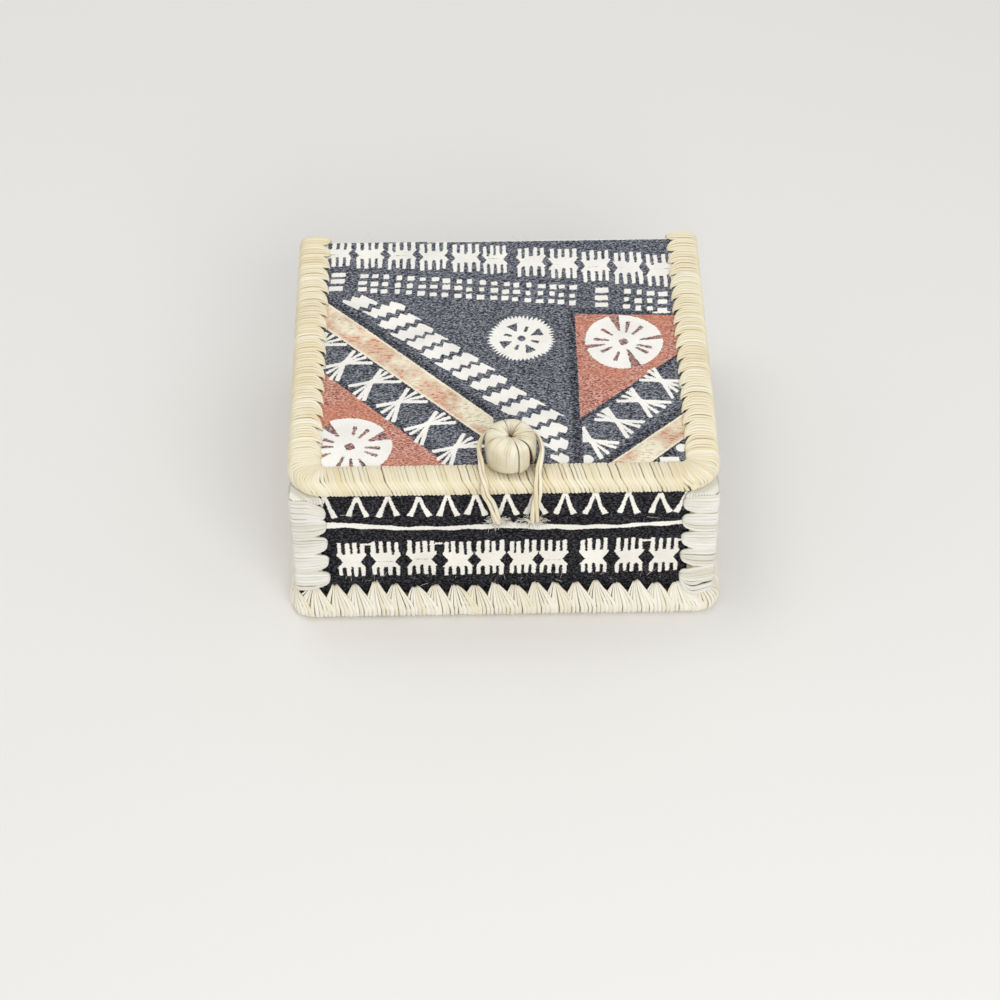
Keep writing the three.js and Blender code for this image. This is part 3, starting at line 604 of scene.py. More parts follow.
def wall_ink(seed, half, along):
    def ink(points):
        rng = np.random.default_rng(seed)
        x, z = along(points), points[:, 2]
        white = np.full(x.shape, NO_INK)
        for cx in WEDGES:
            white = np.maximum(white, wedge(x, z, rng, cx + rng.uniform(-0.2, 0.2)))
        drift = np.interp(x, LINE_X, LINE_Z) + 0.1 * np.sin(x * 0.63 + rng.uniform(0, 6))
        thick = 0.72 + 0.16 * np.sin(x * 0.13 + rng.uniform(0, 6)) + 0.1 * np.sin(x * 0.9)
        line = thick - np.abs(z - drift)
        white = np.maximum(white, np.minimum(line, half + 0.8 - np.abs(x)))
        for cx in COMBS:
            if abs(cx) > half - 3:
                continue
            middle = 17.3 + rng.uniform(-0.25, 0.25)
            shape = comb(x, z, rng, cx, middle, rng.uniform(6.9, 7.3), 3.7, 2.9, 2.0, 2.8, 1.25)
            white = np.maximum(white, shape)
            if rng.uniform() < 0.3:
                white = np.maximum(white, block(x, z, cx + 4, 23.1, 2.0, 0.6))
        return {"white": np.where(np.abs(x) > half + 1.2, NO_INK, white)}
    return ink


# %% [markdown]
# ## The sheets of cloth
# Each sheet is cut a little larger than its panel, glued on, and turned in over the free edge. It is
# a closed slab of the cloth's thickness, with a fine grid on the outer face to carry the print and
# a slightly rounded fold.

# %% Printed sheets
GRID = 0.34
HIDDEN_GRID = 3.0
WALL_X, WALL_Y = 48.5, 43.0

# Each side turns (along the wall, outwards, height) into a place.
SIDES = {
    "front": lambda a, out, z: np.stack([a, -out, z], -1),
    "back": lambda a, out, z: np.stack([-a, out, z], -1),
    "left": lambda a, out, z: np.stack([-out, -a, z], -1),
    "right": lambda a, out, z: np.stack([out, a, z], -1),
}


def wall_profile(face, inside):
    """The outer and inner profile of a wall's cloth, rounded where it turns in over the top."""
    outer = [(face, 1.6), (face, 8.0), (face, 38.65), (face - 0.08, 38.82), (face - 0.25, 38.9)]
    inner = [(face - 0.4, 1.6), (face - 0.4, 8.0), (face - 0.4, 38.3), (face - 0.45, 38.42),
             (face - 0.55, 38.5)]
    return outer + [(inside, 38.9)], inner + [(inside, 38.5)], [2, round(30.65 / GRID), 1, 1, 4]


for side, face, half, inside, printed, turned_in, along, seed in (
    ("front", WALL_Y, 48.1, 40.3, 41.3, 1.0, lambda p: p[:, 0], 5),
    ("back", WALL_Y, 48.1, 40.3, 41.3, 1.0, lambda p: -p[:, 0], 23),
    ("left", WALL_X, 42.6, 45.8, 35.8, 40.3 / 42.6, lambda p: -p[:, 1], 37),
    ("right", WALL_X, 42.6, 45.8, 35.8, 40.3 / 42.6, lambda p: p[:, 1], 52),
):
    narrow = lambda profile: np.where(profile[:, 0] > face - 0.3, 1.0, turned_in)
    made = cloth(f"{side}_cloth_print", *wall_profile(face, inside), half, GRID, SIDES[side], wall_print,
                 "box", f"{side}_cloth", "wall_cloth", wall_ink(seed, printed, along), narrow)


def level(a, y, z):
    return np.stack([a, y, z], -1)


def lid_narrow(profile):
    """The sheet is rounded at its two front corners."""
    y = profile[:, 0]
    inside = np.clip(-36.3 - y, 0, 6.5) / 6.55
    return (40.9 + 7.5 * np.sqrt(1 - inside ** 2)) / 48.4


lid_outer = [(-42.7, 43.0), (-38.5, 43.0), (42.75, 43.0), (42.93, 42.93), (43.0, 42.75), (43.0, 40.42)]
lid_inner = [(-42.7, 42.6), (-38.5, 42.6), (42.4, 42.6), (42.5, 42.57), (42.6, 42.5), (42.6, 40.42)]
lid_cloth = cloth("lid_cloth_print", lid_outer, lid_inner, [2, round(81.25 / GRID), 1, 1, 5], 48.4, GRID,
                  level, lid_print, "lid", "lid_cloth", "lid_cloth", lid_ink, lid_narrow)

# %% [markdown]
# The lid has no metal hinge. The cloth of the lid simply runs down over the slit at the back and is
# glued to the back wall, and it bends there each time the box is opened. In the scene that strip is
# attached to neither body.

# %% Hinge and plain sheets
hinge = cloth("hinge_cloth_strip", [(43.0, 40.4), (43.0, 38.9)], [(42.6, 40.4), (42.6, 38.9)], [8],
              41.6, 1.6, level, lid_print, None, "hinge_cloth", "lid_cloth")
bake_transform(hinge)

# Half width, start and end of the profile, which way the back lies, flat size.
LONG_LINING = (46.1, (40.3, 3.95), (40.3, 38.5), (0.3, 0), (92.2, 34.6))
SHORT_LINING = (40.3, (45.8, 3.95), (45.8, 38.5), (0.3, 0), (80.6, 34.6))
FLOOR_LINING = (46.1, (-40.6, 3.9), (40.6, 3.9), (0, -0.3), (92.2, 81.2))
BASE_CLOTH = (48.1, (-42.6, 1.2), (42.6, 1.2), (0, 0.4), (96.2, 85.2))
for name, shape, rows, place, material, slot, board in (
    ("front_lining", LONG_LINING, 12, SIDES["front"], bare_cloth, "plain_cloth", "front_board"),
    ("back_lining", LONG_LINING, 12, SIDES["back"], bare_cloth, "plain_cloth", "back_board"),
    ("left_lining", SHORT_LINING, 12, SIDES["left"], bare_cloth, "plain_cloth", "left_board"),
    ("right_lining", SHORT_LINING, 12, SIDES["right"], bare_cloth, "plain_cloth", "right_board"),
    ("floor_lining", FLOOR_LINING, 28, level, bare_cloth, "plain_cloth", "floor_board"),
    ("base_cloth", BASE_CLOTH, 28, level, wall_print, "wall_cloth", "floor_board"),
):
    half, begin, end, behind, size = shape
    inner = [tuple(np.add(begin, behind)), tuple(np.add(end, behind))]
    made = cloth(f"{name}_sheet", [begin, end], inner, [rows], half, HIDDEN_GRID, place, material, "box",
                 name, slot)

made = cloth("lid_lining_sheet", [(-42.7, 40.3), (-38.5, 40.3), (42.6, 40.3)],
             [(-42.7, 40.6), (-38.5, 40.6), (42.6, 40.6)], [3, 27], 48.4, HIDDEN_GRID, level, bare_cloth,
             "lid", "lid_lining", "plain_cloth", None, lid_narrow)

# %% [markdown]
# ## Raffia
# Raffia is the peeled skin of a palm leaf: flat ribbons 0.6 to 1 mm wide, cream to straw coloured,
# with fine lines along them and a dull silk shine. The binder pulls bunches of them through a row
# of holes and round the edge, so each bunch is tight at its hole and spreads on the outside. A
# bump map can't give that outline, so every ribbon is a real strand with a lens-shaped section,
# wound round the edge over a darker core that shows as painted shade in the gaps between strands.

# %% Raffia materials
def raffia(name, tones, line, root):
    # Dried leaf skin: half matt, silky along the strand, lines about 0.1 mm apart drawn at 0.2 mm.
    material, tree, shader = new_material(name, 0.5, 0.4)
    shader.inputs["Sheen Weight"].default_value = 0.25
    shader.inputs["Sheen Roughness"].default_value = 0.5
    seed, across, along, dark = (node(tree, "Attribute", attribute_name=key).outputs["Fac"]
                                 for key in ("strand", "across", "along", "root"))
    apart = node(tree, "Math", {0: seed, 1: 91.7, 2: across}, operation="MULTIPLY_ADD")
    apart = node(tree, "Math", {0: apart, 1: 2.4}, operation="MULTIPLY")
    slow = node(tree, "Math", {0: along, 1: 0.13}, operation="MULTIPLY")
    where = node(tree, "CombineXYZ", {0: apart, 1: slow, 2: seed})
    lines = node(tree, "TexNoise", {"Vector": where, "Scale": 1.0, "Detail": 3.0, "Roughness": 0.65})
    colour = node(tree, "ValToRGB", {0: seed}, ramp=tones)
    lined = node(tree, "MapRange", {"Value": lines, "From Min": 0.52, "From Max": 0.72, "To Max": 0.6})
    colour = node(tree, "Mix", {0: lined, 6: colour, 7: line}, data_type="RGBA")
    place = node(tree, "TexCoord").outputs["Object"]
    patches = node(tree, "TexNoise", {"Vector": place, "Scale": 90.0, "Detail": 2.0})
    patch = node(tree, "MapRange", {"Value": patches, "From Min": 0.5, "From Max": 0.75, "To Max": 0.4})
    colour = node(tree, "Mix", {0: patch, 6: colour, 7: line}, data_type="RGBA")
    # Each strand is painted darker towards the root colour at its edges and near its holes: painted shade
    # in the grooves between strands and in the holes.
    rim = node(tree, "Math", {0: across}, operation="ABSOLUTE")
    painted_groove_shade = node(tree, "MapRange", {"Value": rim, "From Min": 0.72, "From Max": 1.0, "To Max": 0.6})
    painted_shade = node(tree, "Math", {0: painted_groove_shade, 1: dark}, operation="MAXIMUM")
    colour = node(tree, "Mix", {0: painted_shade, 6: colour, 7: root}, data_type="RGBA")
    bump = node(tree, "Bump", {"Height": lines, "Strength": 0.5, "Distance": 0.00012})
    tree.links.new(colour.outputs[2], shader.inputs["Base Color"])
    tree.links.new(bump.outputs[0], shader.inputs["Normal"])
    return material


CREAM_TONES = [(0.0, "#EADCB4"), (0.2, "#EFE4C3"), (0.7, "#F2E9CD"), (1.0, "#F5EED8")]
FADED_TONES = [(0.0, "#F0E7CB"), (0.2, "#F5EEDA"), (0.7, "#F8F3E3"), (1.0, "#FAF7EC")]
PALE_TONES = [(0.0, "#E0DCCC"), (0.3, "#E8E5D8"), (0.7, "#EDEBE1"), (1.0, "#F3F1EA")]
cream_raffia = raffia("raffia, natural cream", CREAM_TONES, "#D9C79A", "#8A7144")
base_raffia = raffia("raffia, sun faded", FADED_TONES, "#DFD2AC", "#957F4D")
pale_raffia = raffia("raffia, bleached", PALE_TONES, "#CBC5B0", "#716A55")


def packing(name, dark, light):
    # Pressed fibre: matt. Under the raffia it is darker than the strands over it, as painted shade in the
    # gaps.
    material, tree, shader = new_material(name, 0.9, 0.2)
    place = node(tree, "TexCoord").outputs["Object"]
    fibre = node(tree, "TexNoise", {"Vector": place, "Scale": 900.0, "Detail": 4.0})
    colour = node(tree, "ValToRGB", {0: fibre}, ramp=[(0.35, dark), (0.65, light)])
    bump = node(tree, "Bump", {"Height": fibre, "Strength": 0.6, "Distance": 0.0003})
    tree.links.new(colour.outputs[0], shader.inputs["Base Color"])
    tree.links.new(bump.outputs[0], shader.inputs["Normal"])
    return material


# The two cores are darker than their strands and show in the gaps between them as painted shade.
raffia_shade_core = packing("raffia core, stained", "#86683C", "#B99663")
pale_shade_core = packing("raffia core, pale painted shade", "#958B6E", "#C6BEA4")
cut_ends = packing("raffia, cut ends", "#BBA36F", "#E9DBB4")

# %% Strands
LENS_SECTION = np.array([(-1, -0.15), (-0.72, 0.6), (0, 1.0), (0.72, 0.6), (1, -0.15), (0, -0.7)])
ROUND_SECTION = np.array([(math.cos(a), math.sin(a)) for a in np.linspace(math.pi, -math.pi, 7)[:-1]])


def unit(v):
    return v / np.maximum(np.linalg.norm(v, axis=-1, keepdims=True), 1e-9)


def strands(parts, centre, up, width, thick, root, rng, section=LENS_SECTION):
    """Closed strands along centre[n, m], with their flat side facing up[n, m]."""
    n, m, _ = centre.shape
    k = len(section)
    along = unit(np.gradient(centre, axis=1))
    side = unit(np.cross(up, along))
    lift = np.cross(along, side)
    width = np.broadcast_to(width, (n, m))
    thick = np.broadcast_to(thick, (n, m))
    ring = (centre[:, :, None] + side[:, :, None] * (section[:, 0] * width[..., None] / 2)[..., None]
            + lift[:, :, None] * (section[:, 1] * thick[..., None] / 2)[..., None])
    index = np.arange(n * m * k).reshape(n, m, k)
    after = np.roll(index, -1, axis=2)
    skin = quads(index[:, :-1], after[:, :-1], after[:, 1:], index[:, 1:])
    caps = np.concatenate([index[:, 0, ::-1], index[:, -1]])
    step = np.linalg.norm(np.diff(centre, axis=1), axis=2)
    run = np.concatenate([np.zeros((n, 1)), np.cumsum(step, axis=1)], axis=1)
    values = {"across": section[:, 0], "along": run[..., None],
              "strand": rng.uniform(0, 1, n)[:, None, None],
              "root": np.broadcast_to(root, (n, m))[..., None]}
    values = {key: np.broadcast_to(value, (n, m, k)).reshape(-1) for key, value in values.items()}
    points = ring.reshape(-1, 3)
    parts.add(points, outward(points, [skin, caps]), values)


def ring_body(parts, rings, closed, material=1):
    """A closed body through rings[i, k], capped at both ends when it isn't closed."""
    r, k, _ = rings.shape
    index = np.arange(r * k).reshape(r, k)
    after = np.roll(index, -1, axis=1)
    if closed:
        low, high = index, np.roll(index, -1, axis=0)
        low_after, high_after = after, np.roll(after, -1, axis=0)
    else:
        low, high, low_after, high_after = index[:-1], index[1:], after[:-1], after[1:]
    skin = quads(low, low_after, high_after, high)
    points = rings.reshape(-1, 3)
    groups = [skin] if closed else [skin, np.stack([index[0][::-1], index[-1]])]
    parts.add(points, outward(points, groups), {"root": 1.0}, material)


def eased(points, count):
    """A smooth path of count points through a few given ones."""
    points = np.asarray(points, float)
    knots = np.concatenate([[0], np.cumsum(np.linalg.norm(np.diff(points, axis=0), axis=1) ** 0.5)])
    t = np.linspace(0, knots[-1], count)
    padded = np.vstack([2 * points[0] - points[1], points, 2 * points[-1] - points[-2]])
    ends = np.concatenate([[-knots[1]], knots, [2 * knots[-1] - knots[-2]]])
    i = np.clip(np.searchsorted(knots, t, side="right") - 1, 0, len(points) - 2)
    p0, p1, p2, p3 = (padded[i + j] for j in range(4))
    t0, t1, t2, t3 = (ends[i + j][:, None] for j in range(4))
    t = t[:, None]

    def between(a, b, ta, tb):
        return (tb - t) / (tb - ta) * a + (t - ta) / (tb - ta) * b

    a1, a2, a3 = between(p0, p1, t0, t1), between(p1, p2, t1, t2), between(p2, p3, t2, t3)
    return between(between(a1, a2, t0, t2), between(a2, a3, t1, t3), t1, t2)


def along_path(path, t):
    """Both columns of an evenly spaced path at t from 0 to 1."""
    places = np.linspace(0, 1, len(path))
    return np.interp(t, places, path[:, 0]), np.interp(t, places, path[:, 1])


# %% Winding
def wind(parts, surface, bunches, samples, rng, width, thick, gather, slant, shingle=0.12, jitter=0.06,
         spread=1.06, ragged=0.0):
    """Winds bunches of strands round an edge.

    surface(s, t) is the outside of the winding at s along the edge and t round its section. Each
    bunch is (middle, pitch, number). gather(s, t) says how far a bunch is spread, slant(s, t) how
    far it leans along the edge.
    """
    start, offset, middle, place_in = [], [], [], []
    for at, pitch, number in bunches:
        for k in range(number):
            start.append(at)
            offset.append(((k + 0.5) / number - 0.5) * pitch * spread + rng.uniform(-jitter, jitter))
            middle.append(pitch)
            place_in.append((k + 0.5) / number)
    start, offset, pitch, place_in = (np.array(v)[:, None] for v in (start, offset, middle, place_in))
    n = len(start)
    late = ragged * rng.uniform(0, 1, (n, 1))
    t = np.linspace(0, 1, samples)[None, :] + late * np.linspace(1, 0, samples)[None, :]
    wander = np.sin(t * rng.uniform(2, 5, (n, 1)) + rng.uniform(0, 6, (n, 1))) * jitter
    loose = gather(start, t)
    s = start + (offset + wander) * loose + slant(start, t)
    d = 0.02
    here = surface(s, t)
    ds = surface(s + d, t) - surface(s - d, t)
    dt = surface(s, np.clip(t + 0.004, 0, 1)) - surface(s, np.clip(t - 0.004, 0, 1))
    normal = unit(np.cross(dt, ds))
    inside = surface(s, 0.5 + 0 * t)
    away = inside[:, samples // 2] - here[:, [0, -1]].mean(axis=1)
    sign = np.sign((normal[:, samples // 2] * away).sum(-1))
    normal = normal * sign[:, None, None]
    swell = 1 - np.abs(place_in * 2 - 1) ** 3
    lift = shingle * (place_in - 0.6) + 0.06 * swell - 0.05 + rng.uniform(-0.05, 0.05, (n, 1))
    squeeze = np.clip(loose, 0.3, 1)
    strand_width = width * rng.uniform(0.88, 1.14, (n, 1)) * squeeze
    strand_thick = thick * squeeze ** 0.5
    centre = here + normal * (lift - strand_thick / 2)[..., None]
    # Near the holes at both ends the strands get painted shade, carried as their root value.
    root = np.clip(1 - np.minimum(t, 1 - t) / 0.08, 0, 1) ** 1.5 * 0.8
    strands(parts, centre, normal, strand_width, strand_thick, root, rng)


# %% [markdown]
# ## The lid binding
# One run of raffia goes over the left, front and right edges of the lid. Its section is a slot for
# the edge of the lid inside a flattened roll. The strands lean towards the front as they pass over
# the outer edge, and the rounded front corners take twice as many strands on the outside.

# %% Lid binding
LID_FAN_X, LID_FAN_Y = 40.9, -36.3
LID_INNER, LID_OUTER = 41.9, 50.0
LID_TURN = 7.6
LID_BACK_END = 43.3
LID_MIDDLE = 41.7
LID_DOME = 3.6


def lid_rows():
    """Rows of (distance along the edge, inner x and y, outer x and y), from the left back end."""
    side = LID_BACK_END - LID_FAN_Y
    rows = [(0, -LID_INNER, LID_BACK_END, -LID_OUTER, LID_BACK_END),
            (side, -LID_INNER, LID_FAN_Y, -LID_OUTER, LID_FAN_Y)]
    for sign, s in ((-1, side), (1, side + LID_TURN + 2 * LID_FAN_X)):
        if sign > 0:
            rows.append((s, LID_FAN_X, LID_FAN_Y - 1, LID_FAN_X, LID_FAN_Y - 8.1))
        for k in range(1, 25):
            a = (1.25 + 0.25 * sign + k / 48) * math.pi
            c, v = math.cos(a), math.sin(a)
            rows.append((s + LID_TURN * k / 24, sign * LID_FAN_X + c, LID_FAN_Y + v,
                         sign * LID_FAN_X + 9.1 * c, LID_FAN_Y + 8.1 * v))
    rows.append((s + LID_TURN + side, LID_INNER, LID_BACK_END, LID_OUTER, LID_BACK_END))
    return np.array(rows)


LID_ROWS = lid_rows()
LID_RUN = LID_ROWS[-1, 0]
lid_section = eased([
    (0.0, 43.0), (0.05, 43.6), (0.3, 44.15), (0.55, 44.25), (0.8, 44.1), (0.95, 43.2), (1.0, 41.7),
    (0.95, 40.2), (0.8, 39.35), (0.55, 39.2), (0.3, 39.3), (0.05, 39.8), (0.0, 40.3)], 200)


def lid_plan(s):
    return tuple(np.interp(s, LID_ROWS[:, 0], LID_ROWS[:, k]) for k in range(1, 5))


def lid_dome(s):
    """The back ends are domes: the size of the section at s, and how far it lies past the end."""
    turn = np.clip(np.maximum(-s, s - LID_RUN) / LID_DOME, 0, 1) * 0.46 * math.pi
    return np.cos(turn), np.where(s < 0, 2.5, 1.8) * np.sin(turn)


def lid_surface(s, t):
    share, z = along_path(lid_section, t)
    size, past = lid_dome(s)
    share = 0.5 + (share - 0.5) * size
    z = LID_MIDDLE + (z - LID_MIDDLE) * size
    ix, iy, ox, oy = lid_plan(np.clip(s, 0, LID_RUN))
    y = iy + (oy - iy) * share + past
    return np.stack([ix + (ox - ix) * share, y, z], -1)


def lid_slant(s, t):
    """On the sides the strands start at a hole, arch back over the edge and run forward again."""
    lean = np.interp(t, [0, 0.05, 0.11, 0.17, 0.24, 0.5, 0.88, 1],
                     [2.1, 1.9, 0.2, -0.9, -0.8, 1.0, 1.9, 1.8])
    straight = np.interp(t, [0, 0.12, 0.5, 0.88, 1], [-0.9, -1.3, 1.2, 2.0, 1.9])
    on_front = np.interp(s, [74, 86, 168, 180], [0, 1, 1, 0])
    way = np.interp(s, [-3, 16, 168, 182, LID_RUN - 16, LID_RUN + 3], [0, 1, 1, -1, -1, 0])
    return (lean + (straight - lean) * on_front) * way


def lid_gather(s, t):
    on_front = np.interp(s, [70, 84, 172, 186], [0, 1, 1, 0])
    ends = np.interp(t, [0, 0.05, 0.09, 0.13, 0.18, 0.84, 0.96, 1], [0.1, 0.18, 0.5, 0.85, 1, 1, 0.6, 0.4])
    return ends + (1 - ends) * on_front


def lid_core(parts, stations):
    """The packing under the strands, slotted for the edge of the lid and closed in the domes."""
    hull = lid_surface(*np.meshgrid(stations, np.linspace(0.13, 0.87, 18), indexing="ij"))
    slot, heart = [], []
    for value in stations:
        ix, iy, ox, oy = lid_plan(np.clip(value, 0, LID_RUN))
        size, past = lid_dome(value)
        ended = size < 0.999
        deep = 0.2 if ended else 1 - 1.6 / math.hypot(ox - ix, oy - iy)
        low, high = (-0.1, 0.1) if ended else (-1.4, 1.3)
        rows = []
        for share, z in ((0.2, low), (deep, low), (deep, high), (0.2, high)):
            share = 0.5 + (share - 0.5) * size
            rows.append((ix + (ox - ix) * share, iy + (oy - iy) * share + past, LID_MIDDLE + z))
        slot.append(rows)
        heart.append([((ix + ox) / 2, (iy + oy) / 2 + past, LID_MIDDLE)])
    sunk = hull + (np.array(heart) - hull) * 0.17
    ring_body(parts, np.concatenate([np.array(slot), sunk], axis=1), False)


rng = np.random.default_rng(4)
count = round(LID_RUN / 4.4)
pitch = LID_RUN / count
bunches = []
for k in range(1, count):
    middle = k * pitch
    ix, iy, ox, oy = lid_plan(np.array([middle - pitch / 2, middle + pitch / 2]))
    outer_run = math.hypot(ox[1] - ox[0], oy[1] - oy[0])
    bunches.append((middle, pitch, max(4, round(outer_run / 0.88))))
parts = Parts()
wind(parts, lid_surface, bunches, 34, rng, 1.0, 0.84, lid_gather, lid_slant, 0.1, 0.06)
lid_core(parts, np.linspace(1.6, LID_RUN - 1.6, 250))
parts.piece("lid_binding_strands", [cream_raffia, raffia_shade_core], "lid", ["lid_binding"], "cream_raffia")

# The two back ends are soft: when the lid stands open, the corner bindings press them flat.
for name, middle, stations in (("left", -0.7, np.linspace(-3.0, 1.6, 13)),
                               ("right", LID_RUN + 0.7, np.linspace(LID_RUN - 1.6, LID_RUN + 3.0, 13))):
    parts = Parts()
    wind(parts, lid_surface, [(middle, 5.6, 7)], 34, rng, 1.0, 0.84, lid_gather, lid_slant, 0.1, 0.06)
    lid_core(parts, stations)
    end = parts.piece(f"lid_binding_{name}_end_strands", [cream_raffia, cut_ends], "lid", ["lid_binding"],
                      "cream_raffia")
    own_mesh(end)

# %% [markdown]
# ## The base binding
# Round the bottom the raffia comes out of holes about 9 mm up the wall, fans down over a bulging
# edge and goes under the floor. Between two fans the dark cloth shows as a V.

# %% Base binding
BASE_IN_X, BASE_IN_Y = 41.5, 36.0
BASE_STEPS_X, BASE_STEPS_Y, CORNER_STEPS = 34, 30, 6
BASE_BULGE = 3.0


def base_corner(sign_x, sign_y, part):
    turn = part * math.pi / 2
    ux, uy = math.cos(turn), math.sin(turn)
    centre_x, centre_y = BASE_IN_X - 1, BASE_IN_Y - 1
    to_wall, to_side = 8 / max(ux, uy), 11 / max(ux, uy)
    along = (ux + uy) * 5
    to_rim = along + math.sqrt(max(along * along - 50 + 36, 0))
    reach = to_side if to_side * min(ux, uy) < 5 else to_rim
    place = lambda r: (sign_x * (centre_x + ux * r), sign_y * (centre_y + uy * r))
    return (*place(1), *place(to_wall), *place(reach))


def base_rows():
    """Rows of (step, inner x and y, wall x and y, outer x and y), from the front's left end."""
    rows, q = [], 0.0
    span_x, span_y = BASE_IN_X - 1, BASE_IN_Y - 1
    for along_x, sign, (sx, sy, first, last) in (
            (True, -1, (1, -1, 1, 0)), (False, 1, (1, 1, 0, 1)),
            (True, 1, (-1, 1, 1, 0)), (False, -1, (-1, -1, 0, 1))):
        for end in (-1, 1):
            if along_x:
                v = -sign * end * span_x
                rows.append((q, v, sign * BASE_IN_Y, v, sign * WALL_Y, v, sign * (WALL_Y + BASE_BULGE)))
            else:
                v = sign * end * span_y
                rows.append((q, sign * BASE_IN_X, v, sign * WALL_X, v, sign * (WALL_X + BASE_BULGE), v))
            if end < 0:
                q += BASE_STEPS_X if along_x else BASE_STEPS_Y
        for k in range(1, 25):
            rows.append((q + CORNER_STEPS * k / 24, *base_corner(sx, sy, first + (last - first) * k / 24)))
        q += CORNER_STEPS
    return np.array(rows), q


BASE_ROWS, BASE_RUN = base_rows()


def base_plan(s):
    return tuple(np.interp(s % BASE_RUN, BASE_ROWS[:, 0], BASE_ROWS[:, k]) for k in range(1, 7))


TALL_FAN = 4.0
base_section = eased([
    (0.0, 9.3), (0.14, 9.0), (0.42, 7.8), (0.7, 6.0), (0.92, 4.2), (1.0, 2.9), (0.93, 1.4), (0.7, 0.5),
    (0.4, 0.22), (-0.1, 0.2), (-0.5, 0.2), (-0.85, 0.25), (-1.0, 0.7)], 200)


def base_surface(s, t):
    share, z = along_path(base_section, t)
    q = s % BASE_RUN
    ix, iy, wx, wy, ox, oy = base_plan(s)
    out = share >= 0
    tx, ty = np.where(out, ox, ix), np.where(out, oy, iy)
    reach = np.abs(share)
    # The holes lie a little unevenly, and one fan near the left end of the front is taller.
    tip = 0.45 * np.sin(q * 1.3) + 0.35 * np.sin(q * 2.9 + 1) + 1.9 * np.exp(-((q - TALL_FAN) / 1.1) ** 2)
    z = z + tip * np.clip(1 - share / 0.5, 0, 1) * out
    return np.stack([wx + (tx - wx) * reach, wy + (ty - wy) * reach, z], -1)


def base_gather(s, t):
    return np.interp(t, [0, 0.05, 0.2, 0.36, 0.5, 0.75, 1], [0.14, 0.22, 0.62, 0.95, 1.05, 1, 0.7])


def base_slant(s, t):
    return (0.5 + 0.25 * np.sin(s * 1.7)) * np.clip(t * 2.2, 0, 1)


rng = np.random.default_rng(9)
bunches = []
edges = np.cumsum([0] + 2 * [BASE_STEPS_X, CORNER_STEPS, BASE_STEPS_Y, CORNER_STEPS])
fans = round(BASE_RUN / 2)
for k in range(fans):
    middle = 2.0 * k
    in_corner = any(a <= middle < b for a, b in zip(edges[1::2], edges[2::2]))
    bunches.append((middle, 2.0, 10 if in_corner else 8))
parts = Parts()
wind(parts, base_surface, bunches, 24, rng, 0.98, 0.62, base_gather, base_slant, 0.3, 0.03, 1.6, 0.05)
s = np.linspace(0, BASE_RUN, 4 * fans + 1)[:-1]
hull = base_surface(*np.meshgrid(s, np.linspace(0.3, 0.93, 14), indexing="ij"))
ix, iy, wx, wy, ox, oy = base_plan(s)
wall = np.stack([wx, wy], -1)
inner = np.stack([ix, iy], -1)
lay = lambda xy, z: np.concatenate([xy, np.full((len(xy), 1), z)], -1)[:, None]
seat = [lay(inner + (wall - inner) * 0.08, 1.2), lay(wall, 1.2), lay(wall, 6.4)]
toward = np.concatenate([wall, np.full((len(wall), 1), 3.0)], -1)[:, None]
sunk = hull + (toward - hull) * 0.15
sunk[..., 2] = np.maximum(sunk[..., 2], 0.35)
ring_body(parts, np.concatenate([*seat, sunk], axis=1), True)
parts.piece("base_binding_strands", [base_raffia, raffia_shade_core], "box", ["base_binding"], "cream_raffia")

# %% [markdown]
# ## The corner bindings
# Each upright edge is whipped with paler raffia, laid level, one bunch above the other. The ends are
# drawn together in the holes beside the corner, and the strands spread between them.

# %% Corner bindings
CORNER_LOW, CORNER_HIGH = 9.5, 38.6
CORNER_BUNCHES = 5
CORNER_BAND = 7.2
CORNER_OUT = 1.4


def corner_surface(sign_x, sign_y):
    b, w = CORNER_BAND, CORNER_OUT
    arm = [(-b - 0.1, -0.15), (-b + 0.1, 0.45 * w), (-0.72 * b, 0.85 * w), (-0.4 * b, w),
           (-0.02 * b, 0.95 * w)]
    path = eased(arm + [(0.68 * w, 0.68 * w)] + [(v, u) for u, v in arm[::-1]], 200)

    def surface(s, t):
        across, out = along_path(path, t)
        out = out + 0.6 * np.clip(CORNER_LOW + 0.4 - s, 0, 2.5) * np.clip(out, 0, 1)
        return np.stack([sign_x * (WALL_X + across), sign_y * (WALL_Y + out), s + 0 * t], -1)
    return surface


def corner_gather(s, t):
    return np.interp(t, [0, 0.04, 0.12, 0.24, 0.76, 0.88, 0.96, 1],
                     [0.16, 0.26, 0.75, 1, 1, 0.75, 0.26, 0.16])


